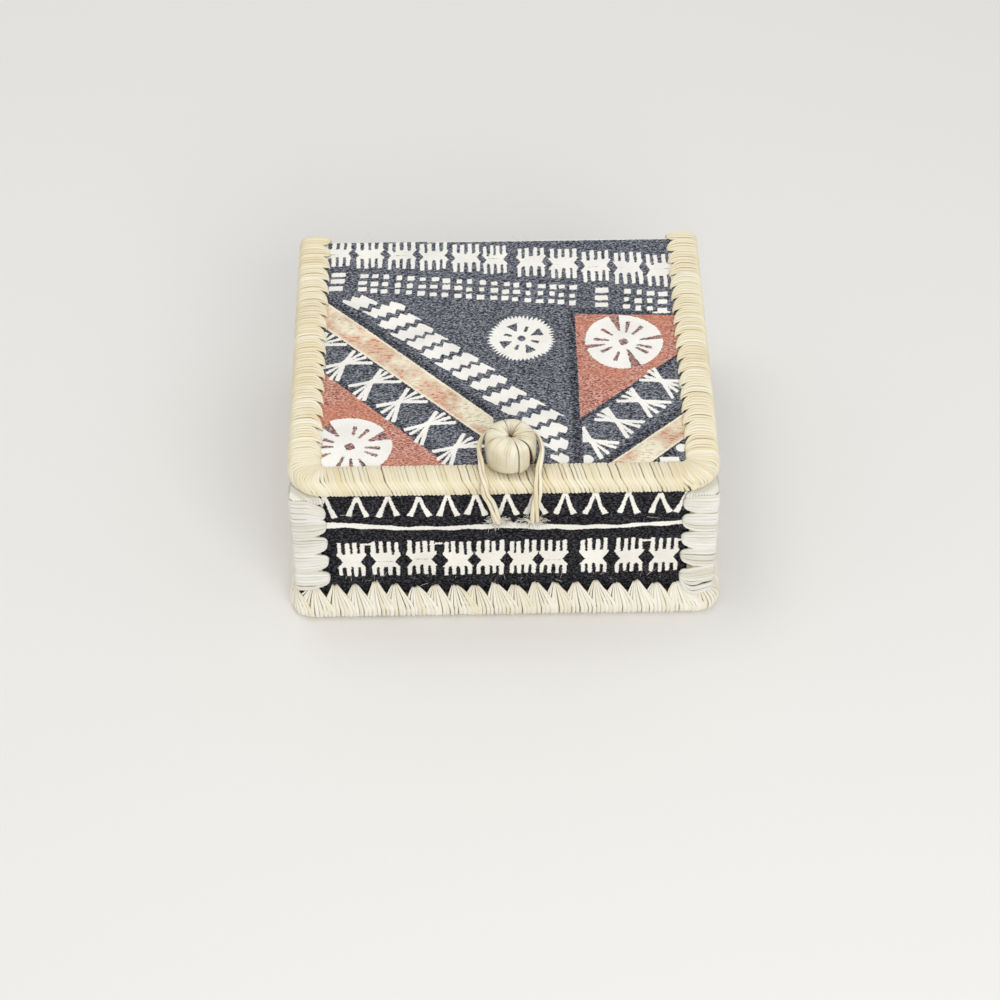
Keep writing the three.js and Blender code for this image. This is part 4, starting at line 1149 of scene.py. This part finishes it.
for name, sign_x, sign_y, seed in (("front_left", -1, -1, 3), ("front_right", 1, -1, 8),
                                   ("back_left", -1, 1, 14), ("back_right", 1, 1, 21)):
    rng = np.random.default_rng(seed)
    surface = corner_surface(sign_x, sign_y)
    pitch = (CORNER_HIGH - CORNER_LOW) / CORNER_BUNCHES
    bunches = [(CORNER_LOW + (k + 0.5) * pitch, pitch, 6) for k in range(CORNER_BUNCHES)]
    if name == "front_right":
        # The lowest bunch hangs over the base binding in a round lobe.
        bunches[0] = (CORNER_LOW + 0.5 * pitch - 0.5, pitch + 1.4, 8)
    rise = rng.uniform(0.3, 0.9)

    def corner_slant(s, t):
        free = np.clip(np.minimum(s - CORNER_LOW, CORNER_HIGH - s) / 4 - 0.3, 0, 1)
        shift = rise * (0.5 - t) * free + 0.4 * np.sin(t * 3.1) * np.cos(s * 0.9) * free
        if name == "front_left":
            shift = shift - 2.6 * np.clip((s - 33) / 2, 0, 1) * np.clip(1 - t / 0.3, 0, 1)
        if name == "front_right":
            shift = shift - 1.2 * np.clip(14 - s, 0, 1) * np.exp(-(((t - 0.2) / 0.17) ** 2))
        return shift

    parts = Parts()
    wind(parts, surface, bunches, 40, rng, 1.12, 0.86, corner_gather, corner_slant, 0.12, 0.09, 1.04)

    # The last strands are laid over the top of the corner, side by side.
    reach_in = np.arange(0.4, 6.9, 0.66)[:, None]
    run = np.linspace(0, 1, 14)[None, :]
    across = np.interp(run, [0, 0.12, 0.88, 1], [0, 0, 1, 1])
    flat = 0 * reach_in
    plan_x = sign_x * (WALL_X - reach_in * (1 - across) + 0.9 * across)
    plan_y = sign_y * (WALL_Y - reach_in * across + 0.9 * (1 - across))
    height = np.interp(run, [0, 0.07, 0.14, 0.5, 0.86, 0.93, 1],
                       [37.6, 38.5, 38.95, 39.02, 38.95, 38.5, 37.6])
    centre = np.stack([plan_x, plan_y, height + flat], -1)
    outside = np.stack([sign_x * across + flat, sign_y * (1 - across) + flat, 0 * run + flat], -1)
    upward = np.interp(run, [0, 0.07, 0.14, 0.86, 0.93, 1], [0, 0.7, 1, 1, 0.7, 0])[..., None]
    facing = unit(outside * (1 - upward) + np.array([0, 0, 1.0]) * upward)
    strands(parts, centre, facing, 0.85, 0.26, 0.0, rng)
    s = np.linspace(CORNER_LOW + 0.15, CORNER_HIGH - 0.15, 22)
    hull = surface(*np.meshgrid(s, np.linspace(0.14, 0.86, 22), indexing="ij"))
    corner = np.array([sign_x * 46.5, sign_y * 41.0, 0.0])
    sunk = hull + unit((corner - hull) * np.array([1, 1, 0])) * 0.45
    seat = []
    for across, out in ((0.02, -0.72 * CORNER_BAND), (0.02, 0.02), (-0.72 * CORNER_BAND, 0.02)):
        x, y = sign_x * (WALL_X + across), sign_y * (WALL_Y + out)
        seat.append(np.stack([x + 0 * s, y + 0 * s, s], -1)[:, None])
    ring_body(parts, np.concatenate([sunk, *seat], axis=1), False)
    parts.piece(f"{name}_binding_strands", [pale_raffia, pale_shade_core], "box", [f"{name}_binding"],
                "pale_raffia")

# %% [markdown]
# ## The button
# The button is a ball of leaf wrapped with broad strips of pandanus leaf. The strips start at a
# dimple on top, come down the sides and are tucked in below. Leaf has fine straight veins and folds
# into pleats where it is pinched at the dimple. The seams, the pleats, the dimple and the foot are
# painted brown as painted shade.

# %% Leaf material
def leaf_skin(name, tones, vein, painted_leaf_shade):
    # Dried pandanus leaf: a little shinier than raffia, veins about 0.45 mm apart along the strip.
    material, tree, shader = new_material(name, 0.46, 0.45)
    seed, across, along, dark = (node(tree, "Attribute", attribute_name=key).outputs["Fac"]
                                 for key in ("strand", "across", "along", "root"))
    wide = node(tree, "Math", {0: across, 1: 2.3}, operation="MULTIPLY")
    slow = node(tree, "Math", {0: along, 1: 0.09}, operation="MULTIPLY")
    where = node(tree, "CombineXYZ", {0: wide, 1: slow, 2: seed})
    veins = node(tree, "TexNoise", {"Vector": where, "Scale": 1.0, "Detail": 4.0, "Roughness": 0.7})
    place = node(tree, "TexCoord").outputs["Object"]
    cloud = node(tree, "TexNoise", {"Vector": place, "Scale": 260.0, "Detail": 3.0})
    colour = node(tree, "ValToRGB", {0: cloud}, ramp=tones)
    lined = node(tree, "MapRange", {"Value": veins, "From Min": 0.5, "From Max": 0.7, "To Max": 0.7})
    colour = node(tree, "Mix", {0: lined, 6: colour, 7: vein}, data_type="RGBA")
    # The sides are painted greyer than the top, as painted shade.
    painted_side_shade = node(tree, "MapRange", {"Value": along, "From Min": 4.5, "From Max": 9.0, "To Max": 0.42})
    colour = node(tree, "Mix", {0: painted_side_shade, 6: colour, 7: "#CABEA0"}, data_type="RGBA")
    # The root value paints the leaf towards the brown shade colour: painted shade.
    colour = node(tree, "Mix", {0: dark, 6: colour, 7: painted_leaf_shade}, data_type="RGBA")
    bump = node(tree, "Bump", {"Height": veins, "Strength": 0.6, "Distance": 0.0002})
    tree.links.new(colour.outputs[2], shader.inputs["Base Color"])
    tree.links.new(bump.outputs[0], shader.inputs["Normal"])
    return material


LEAF_TONES = [(0.35, "#E3D8B6"), (0.5, "#EEE5C9"), (0.65, "#F6F0DD")]
leaf = leaf_skin("pandanus leaf, dried", LEAF_TONES, "#BBA879", "#6E4E2A")
pith = packing("leaf pith, brown", "#8A5530", "#C9925A")

# %% Button
BUTTON = np.array([1.6, -37.2, 44.5])
BUTTON_RADIUS, BUTTON_HEIGHT = 5.95, 8.4
LEAF = 0.45
PROFILE = [(0.03, 0.83), (0.08, 0.9), (0.15, 0.93), (0.3, 0.965), (0.55, 0.995), (0.76, 0.985),
           (0.91, 0.925), (0.98, 0.8), (1.0, 0.6), (1.0, 0.38), (0.985, 0.18), (0.94, 0.06), (0.84, 0.02)]
button_profile = eased([(r * BUTTON_RADIUS, h * BUTTON_HEIGHT) for r, h in PROFILE], 60)
profile_along = np.concatenate([[0], np.cumsum(np.linalg.norm(np.diff(button_profile, axis=0), axis=1))])
tangent = unit(np.gradient(button_profile, axis=0))
profile_out = np.stack([-tangent[:, 1], tangent[:, 0]], -1)
profile_out *= np.sign(profile_out[35, 0])
# Angles from the front, anticlockwise, of the pleats that run out from the dimple.
PLEATS = (62, 76, 134, 151, 160, 168, 177, 186, 193, 203, 216)


def leaf_strip(name, first, last, split, seed, over, slack, seam, cut):
    rng = np.random.default_rng(seed)
    columns = round((last - first) * 1.3)
    share = np.linspace(0, 1, columns + 1)[:, None]
    radius, height = button_profile[:, 0], button_profile[:, 1]
    down = np.clip((7.4 - height) / 7.4, 0, 1)
    height = height + cut * share * np.clip(1 - height / 3.5, 0, 1)
    gap = 0.05 / np.maximum(radius, 0.6)
    begin = np.radians(first + split * down - 90) + gap
    end = np.radians(last - 90) - gap
    turn = begin + (end - begin) * share
    from_edge = np.minimum(turn - begin, end - turn) * radius
    rounded = -0.1 * np.exp(-((from_edge / 0.12) ** 2))
    waves = 0.05 * np.cos(share * rng.uniform(5, 9) + rng.uniform(0, 6)) * np.clip(radius / 4, 0, 1)
    pleat = np.zeros(turn.shape)
    for degrees in PLEATS:
        away = (turn - np.radians(degrees - 90)) * radius
        reach = 3.9 + 0.5 * math.cos(degrees)
        fading = np.clip((reach - radius) / 2.2, 0, 1) ** 0.7
        pleat = np.maximum(pleat, np.exp(-(away / 0.13) ** 2) * fading)
    pinch = np.cos(turn * 23) * 0.1 * np.exp(-((radius - 1.2) / 0.8) ** 2)
    foot = np.clip((profile_along - profile_along[-1] + 2.2) / 2.2, 0, 1)
    loose = slack * foot * (0.5 + 0.5 * np.cos(share * 7 + seed))
    raise_by = over + rounded + waves - 0.22 * pleat + pinch - loose
    grids = []
    for depth in (0.0, -LEAF):
        r = radius + profile_out[:, 0] * (raise_by + depth)
        h = height + profile_out[:, 1] * (raise_by + depth)
        r = np.maximum(r, 0.12)
        grids.append(BUTTON + np.stack([r * np.cos(turn), r * np.sin(turn), h], -1))
    outer, inner = grids
    rings = np.concatenate([outer, inner[:, ::-1]], axis=1)
    n, k, _ = rings.shape
    index = np.arange(n * k).reshape(n, k)
    after = np.roll(index, -1, axis=1)
    skin = quads(index[:-1], after[:-1], after[1:], index[1:])
    rows = k // 2

    def cap(row):
        near, far = index[row, :rows], index[row, ::-1][:rows]
        return quads(near[:-1], near[1:], far[1:], far[:-1])

    caps = np.concatenate([cap(0)[:, ::-1], cap(-1)])
    points = rings.reshape(-1, 3)
    across = (turn - turn.mean()) * BUTTON_RADIUS * (0.35 + 0.65 * radius / BUTTON_RADIUS)
    across = np.concatenate([across, across[:, ::-1]], axis=1)
    run = np.broadcast_to(np.concatenate([profile_along, profile_along[::-1]]), (n, k))
    # Brown at the seams between strips, in the pleats, in the dimple, at the foot and on the inner face is
    # painted shade.
    edge = seam * np.exp(-((from_edge / 0.13) ** 2)) * np.clip((radius - 2.2) / 2, 0, 1)
    dimple_and_foot_shade = 0.45 * foot ** 2 + 0.3 * np.exp(-(radius / 0.8) ** 2)
    painted_leaf_shade = np.clip(np.maximum(edge, 0.62 * pleat) + dimple_and_foot_shade, 0, 0.85)
    painted_leaf_shade = np.concatenate([painted_leaf_shade, np.full(painted_leaf_shade.shape, 0.85)], axis=1)
    parts = Parts()
    values = {"across": across.reshape(-1), "along": run.reshape(-1), "strand": rng.uniform(0, 20),
              "root": painted_leaf_shade.reshape(-1)}
    parts.add(points, outward(points, [skin, caps]), values)
    parts.piece(f"button_leaf_{name}_strip", [leaf], "lid", [f"button_leaf_{name}"], "leaf")


for k, (name, first, last, split, over, slack, seam, cut) in enumerate((
    ("front", -66, 18, 0, 0.1, 0.05, 0.95, 1.0),
    ("front_right", 18, 48, 0, 0.0, 0.2, 0.95, 0.6),
    ("right", 50, 100, 20, 0.0, 0.3, 0.6, 0.0),
    ("back_right", 100, 148, 0, 0.0, 0.1, 0.3, 0.0),
    ("back", 148, 196, 0, 0.0, 0.2, 0.35, 0.0),
    ("back_left", 196, 244, 0, 0.0, 0.1, 0.35, 0.0),
    ("left", 244, 294, 0, -0.06, 0.2, 0.3, 0.0),
)):
    leaf_strip(name, first, last, split, 60 + k, over, slack, seam, cut)

# The core is wound from waste leaf, so it is a lumpy drum.
core_path = eased([(0.02, 6.2), (1.4, 6.3), (3.6, 7.4), (4.9, 7.0), (5.2, 5.6), (5.2, 3.6), (4.9, 1.6),
                   (3.6, 0.5), (2.6, 0.15), (0.02, 0.15)], 40)
turns = np.linspace(0, 2 * np.pi, 49)[:-1]
lumps = 1 - 0.02 * (1 + np.sin(turns * 9)) - 0.015 * (1 + np.sin(turns * 23 + 1))
r = core_path[:, :1] * lumps
rings = np.stack([r * np.cos(turns), r * np.sin(turns), core_path[:, 1:] + 0 * r], -1)
parts = Parts()
ring_body(parts, BUTTON + rings, False, 0)
parts.piece("button_core_wad", [pith], "lid", ["button_core"], "pith")

# %% [markdown]
# ## The loop
# The catch is a loop of three leaf strands, loosely twisted. It comes out of two holes in the front
# wall, lies over the edge of the lid and passes round the button. The box is opened by lifting
# the loop off the button. Its ends stay in their holes; in the scene the loop is attached to neither body.

# %% Loop
ROUND_RADIUS = 7.2
HOLE_LEFT, HOLE_RIGHT, HOLE_HEIGHT = -1.5, 6.9, 30.6


def loop_leg(sign, hole_x, lean):
    return [(hole_x, -40.6, HOLE_HEIGHT), (hole_x, -42.2, HOLE_HEIGHT), (hole_x, -43.85, 30.94),
            (hole_x + 0.15 * lean, -45.31, 33.83), (hole_x + 0.45 * lean, -45.65, 39.2),
            (hole_x + 0.72 * lean, -45.65, 41.7), (hole_x + 0.85 * lean, -44.4, 44.6),
            (hole_x + lean, -41.77, 45.875), (BUTTON[0] + 0.94 * sign * ROUND_RADIUS, -40.29, 47.18)]


behind = []
for degrees in range(-90, 91, 30):
    turn = math.radians(degrees)
    behind.append((BUTTON[0] + ROUND_RADIUS * math.sin(turn), BUTTON[1] + ROUND_RADIUS * math.cos(turn),
                   48.03 + 0.67 * math.cos(turn)))
loop_path = eased(loop_leg(-1, HOLE_LEFT, -3.5) + behind + loop_leg(1, HOLE_RIGHT, 1.0)[::-1], 360)
loop_run = np.concatenate([[0], np.cumsum(np.linalg.norm(np.diff(loop_path, axis=0), axis=1))])
print("loop length in mm:", round(loop_run[-1], 1))


def ribbon(parts, path, run, number, reach, lay, phase, width, thick, rng, root=0.0):
    """Flat strands side by side on a path, changing places once in every lay millimetres."""
    along = unit(np.gradient(path, axis=0))
    from_button = path - BUTTON
    from_button[:, 2] = 2.0
    low = np.clip((45.5 - path[:, 2]) / 2, 0, 1)[:, None]
    facing = unit(unit(from_button) * (1 - low) + np.array([0, -1.0, 0.05]) * low)
    facing = unit(facing - along * (facing * along).sum(-1, keepdims=True))
    side = np.cross(along, facing)
    ends = np.clip(np.minimum(run, run[-1] - run) / 3.0, 0, 1)
    for k in range(number):
        turn = 2 * np.pi * (run / lay + k / number) + phase
        beside = reach * np.cos(turn) * (0.45 + 0.55 * ends)
        above = 0.3 * np.sin(turn)
        centre = path + side * beside[:, None] + facing * above[:, None]
        facing_k = unit(facing + side * (0.5 * np.sin(turn + 0.6))[:, None])
        wide = width * (1 + 0.12 * np.sin(run * rng.uniform(0.25, 0.5) + rng.uniform(0, 6)))
        strands(parts, centre[None], facing_k[None], wide[None], thick, root, rng)


rng = np.random.default_rng(31)
parts = Parts()
ribbon(parts, loop_path, loop_run, 3, 0.66, 34.0, 0.35, 1.05, 0.6, rng)
loop = parts.piece("loop_strands", [cream_raffia], None, ["loop"], "leaf")
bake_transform(loop)

# %% Knots and tie
KNOT_RADIUS, KNOT_HEIGHT = 1.9, 1.5
TIE = (1.6, -35.1)


def overhand(centre, axis, rng):
    """A flattened overhand knot with its flat side square to axis."""
    t = np.linspace(0, 2 * np.pi, 90)
    knot = np.stack([np.sin(t) + 2 * np.sin(2 * t), np.cos(t) - 2 * np.cos(2 * t), -np.sin(3 * t)], -1)
    wide = (KNOT_RADIUS - 0.6) / 3
    knot = knot * np.array([wide, wide, KNOT_HEIGHT / 2 - 0.42])
    axis = np.array(axis, float)
    first = unit(np.cross(axis, np.array([0.3, 0.5, 0.81])))
    second = np.cross(axis, first)
    middle = np.array(centre) + axis * KNOT_HEIGHT / 2
    path = middle + knot[:, :1] * first + knot[:, 1:2] * second + knot[:, 2:] * axis
    parts = Parts()
    up_vector = unit(path - middle + axis * 0.01)
    strands(parts, path[None], up_vector[None], 1.0, 0.8, 0.15, rng, ROUND_SECTION)
    return parts


for name, centre, axis, body, slot in (
    ("loop_knot_left", (HOLE_LEFT, -40.3, HOLE_HEIGHT), (0, 1, 0), "box", "leaf"),
    ("loop_knot_right", (HOLE_RIGHT, -40.3, HOLE_HEIGHT), (0, 1, 0), "box", "leaf"),
    ("button_knot", (*TIE, 40.3), (0, 0, -1), "lid", "cream_raffia"),
):
    parts = overhand(centre, axis, rng)
    parts.piece(f"{name}_strand", [cream_raffia], body, [name], slot)

tie_path = eased([(*TIE, z) for z in (40.3, 42.0, 44.5)], 30)
tie_run = np.linspace(0, 4.2, 30)
parts = Parts()
ribbon(parts, tie_path, tie_run, 2, 0.3, 8.0, 0.0, 0.8, 0.6, rng, 0.2)
parts.piece("button_tie_strands", [cream_raffia], "lid", ["button_tie"], "cream_raffia")

# %% [markdown]
# ## Loose fibres
# A hand-made box has a few loose hairs: frayed leaf and lint round the two holes of the loop, and
# single fibres that stand off the cloth. They are thin round strands with a random bend.

# %% Loose fibres
def hairs(name, roots, rng, body, material, length, thick):
    """Each root is (point, direction, spread)."""
    parts = Parts()
    for point, direction, spread in roots:
        heading = unit(np.array(direction, float) + rng.normal(0, spread, 3))
        bend = rng.normal(0, 0.5, 3)
        reach = rng.uniform(*length)
        t = np.linspace(0, 1, 9)[:, None]
        path = np.array(point) + heading * reach * t + bend * reach * 0.35 * t ** 2
        ups = np.broadcast_to(unit(np.cross(heading, rng.normal(0, 1, 3)))[None], path.shape)
        width = rng.uniform(*thick) * (1 - 0.6 * t[:, 0])
        strands(parts, path[None], ups[None], width[None], width[None], 0.0, rng, ROUND_SECTION)
    parts.piece(name, [material], body)


rng = np.random.default_rng(88)
roots = []
for hole_x in (HOLE_LEFT, HOLE_RIGHT):
    for k in range(170):
        a = rng.uniform(0, 2 * math.pi)
        far = abs(rng.normal(0.9, 0.8))
        point = (hole_x + 1.3 * far * math.cos(a), -43.15 - rng.uniform(0, 0.7),
                 30.7 + 0.7 * far * math.sin(a))
        roots.append((point, (math.cos(a), -0.1, math.sin(a) * 0.4 - 0.1), 0.5))
hairs("loop_hole_lint", roots, rng, "box", pale_raffia, (0.6, 1.7), (0.12, 0.3))

# Frayed strips of leaf stand up round the feet of the loop.
roots = []
for hole_x, leans in ((HOLE_LEFT, (-1.1, -0.7, 0.5, 1.0)), (HOLE_RIGHT, (-1.5, -1.0, -0.4, 0.9, 1.3))):
    for lean in leans:
        foot = (hole_x + 0.5 * lean, -43.5 - rng.uniform(0, 0.4), HOLE_HEIGHT)
        roots.append((foot, (lean, -0.35, 1.6), 0.12))
hairs("loop_foot_frays", roots, rng, "box", cream_raffia, (1.4, 2.6), (0.35, 0.6))

roots = []
for k in range(26):
    x = rng.uniform(-40, 40)
    roots.append(((x, -43.05, rng.uniform(9.3, 12.5)), (rng.uniform(-0.6, 0.6), -0.15, 1), 0.3))
for x, z in ((4, 27), (-24, 20), (33, 31), (-38, 33)):
    roots.append(((x, -43.05, z), (1, -0.06, 0.1), 0.25))
hairs("front_wall_hairs", roots, rng, "box", pale_raffia, (1.5, 4.0), (0.05, 0.1))

roots = []
for k in range(16):
    roots.append(((rng.uniform(-38, 38), 42.9, 43.0), (rng.uniform(-1, 1), 0.5, 0.3), 0.3))
hairs("lid_edge_hairs", roots, rng, "lid", pale_raffia, (1.5, 4.5), (0.05, 0.09))

# %% [markdown]
# ## Boards
# The panels are grey-brown strawboard. They are hidden under cloth on every side, so they keep
# their CAD shape and only get the dull pressed-pulp finish.

# %% Board material
board = packing("strawboard, pressed", "#8D7754", "#A99270")
BOARDS = ("floor_board", "front_board", "back_board", "left_board", "right_board", "lid_board")
for name in BOARDS:
    held = bpy.data.objects.get(name)
    held.data.materials.clear()
    held.data.materials.append(board)

# %% [markdown]
# ## Floor and light
# The box stands on a plain pale sheet of paper under an even white sky. One large soft lamp stands
# above and a little behind, and one in front. Together they light it at about the level where a
# colour renders as it is written.

# %% Floor and lamps
FLOOR_REACH = 1.6
floor_mesh = bpy.data.meshes.new("floor")
corners = [(x * FLOOR_REACH, y * FLOOR_REACH, 0) for x, y in ((-1, -1), (1, -1), (1, 1), (-1, 1))]
floor_mesh.from_pydata(corners, [], [(0, 1, 2, 3)])
in_scene("floor", floor_mesh)
material, tree, shader = new_material("paper, white", 0.8, 0.2)
shader.inputs["Base Color"].default_value = linear("#EFEDE9")
floor_mesh.materials.append(material)

world = bpy.data.worlds.new("sky")
bpy.context.scene.world = world
world.use_nodes = True
tree = world.node_tree
background = tree.nodes["Background"]
background.inputs["Color"].default_value = linear("#F4F6FA")
background.inputs["Strength"].default_value = 0.62
seen = node(tree, "Background", {"Color": "#F2F2F2", "Strength": 1.0})
rays = node(tree, "LightPath")
mixed = node(tree, "MixShader", {0: rays.outputs["Is Camera Ray"], 1: background, 2: seen})
tree.links.new(mixed.outputs[0], tree.nodes["World Output"].inputs["Surface"])


def softbox(name, place, aim, size, watts, colour):
    lamp = bpy.data.lights.new(name, "AREA")
    lamp.size = size
    lamp.energy = watts
    lamp.color = linear(colour)[:3]
    holder = in_scene(name, lamp)
    holder.location = Vector(place)
    direction = Vector(aim) - Vector(place)
    holder.rotation_mode = "QUATERNION"
    holder.rotation_quaternion = direction.to_track_quat("-Z", "Y")


softbox("soft lamp above", (-0.15, 0.1, 0.85), (0, 0, 0.03), 0.5, 1.8, "#FFFBF2")
softbox("soft lamp in front", (0.2, -0.7, 0.5), (0, 0, 0.02), 0.5, 3.0, "#FFFFFF")
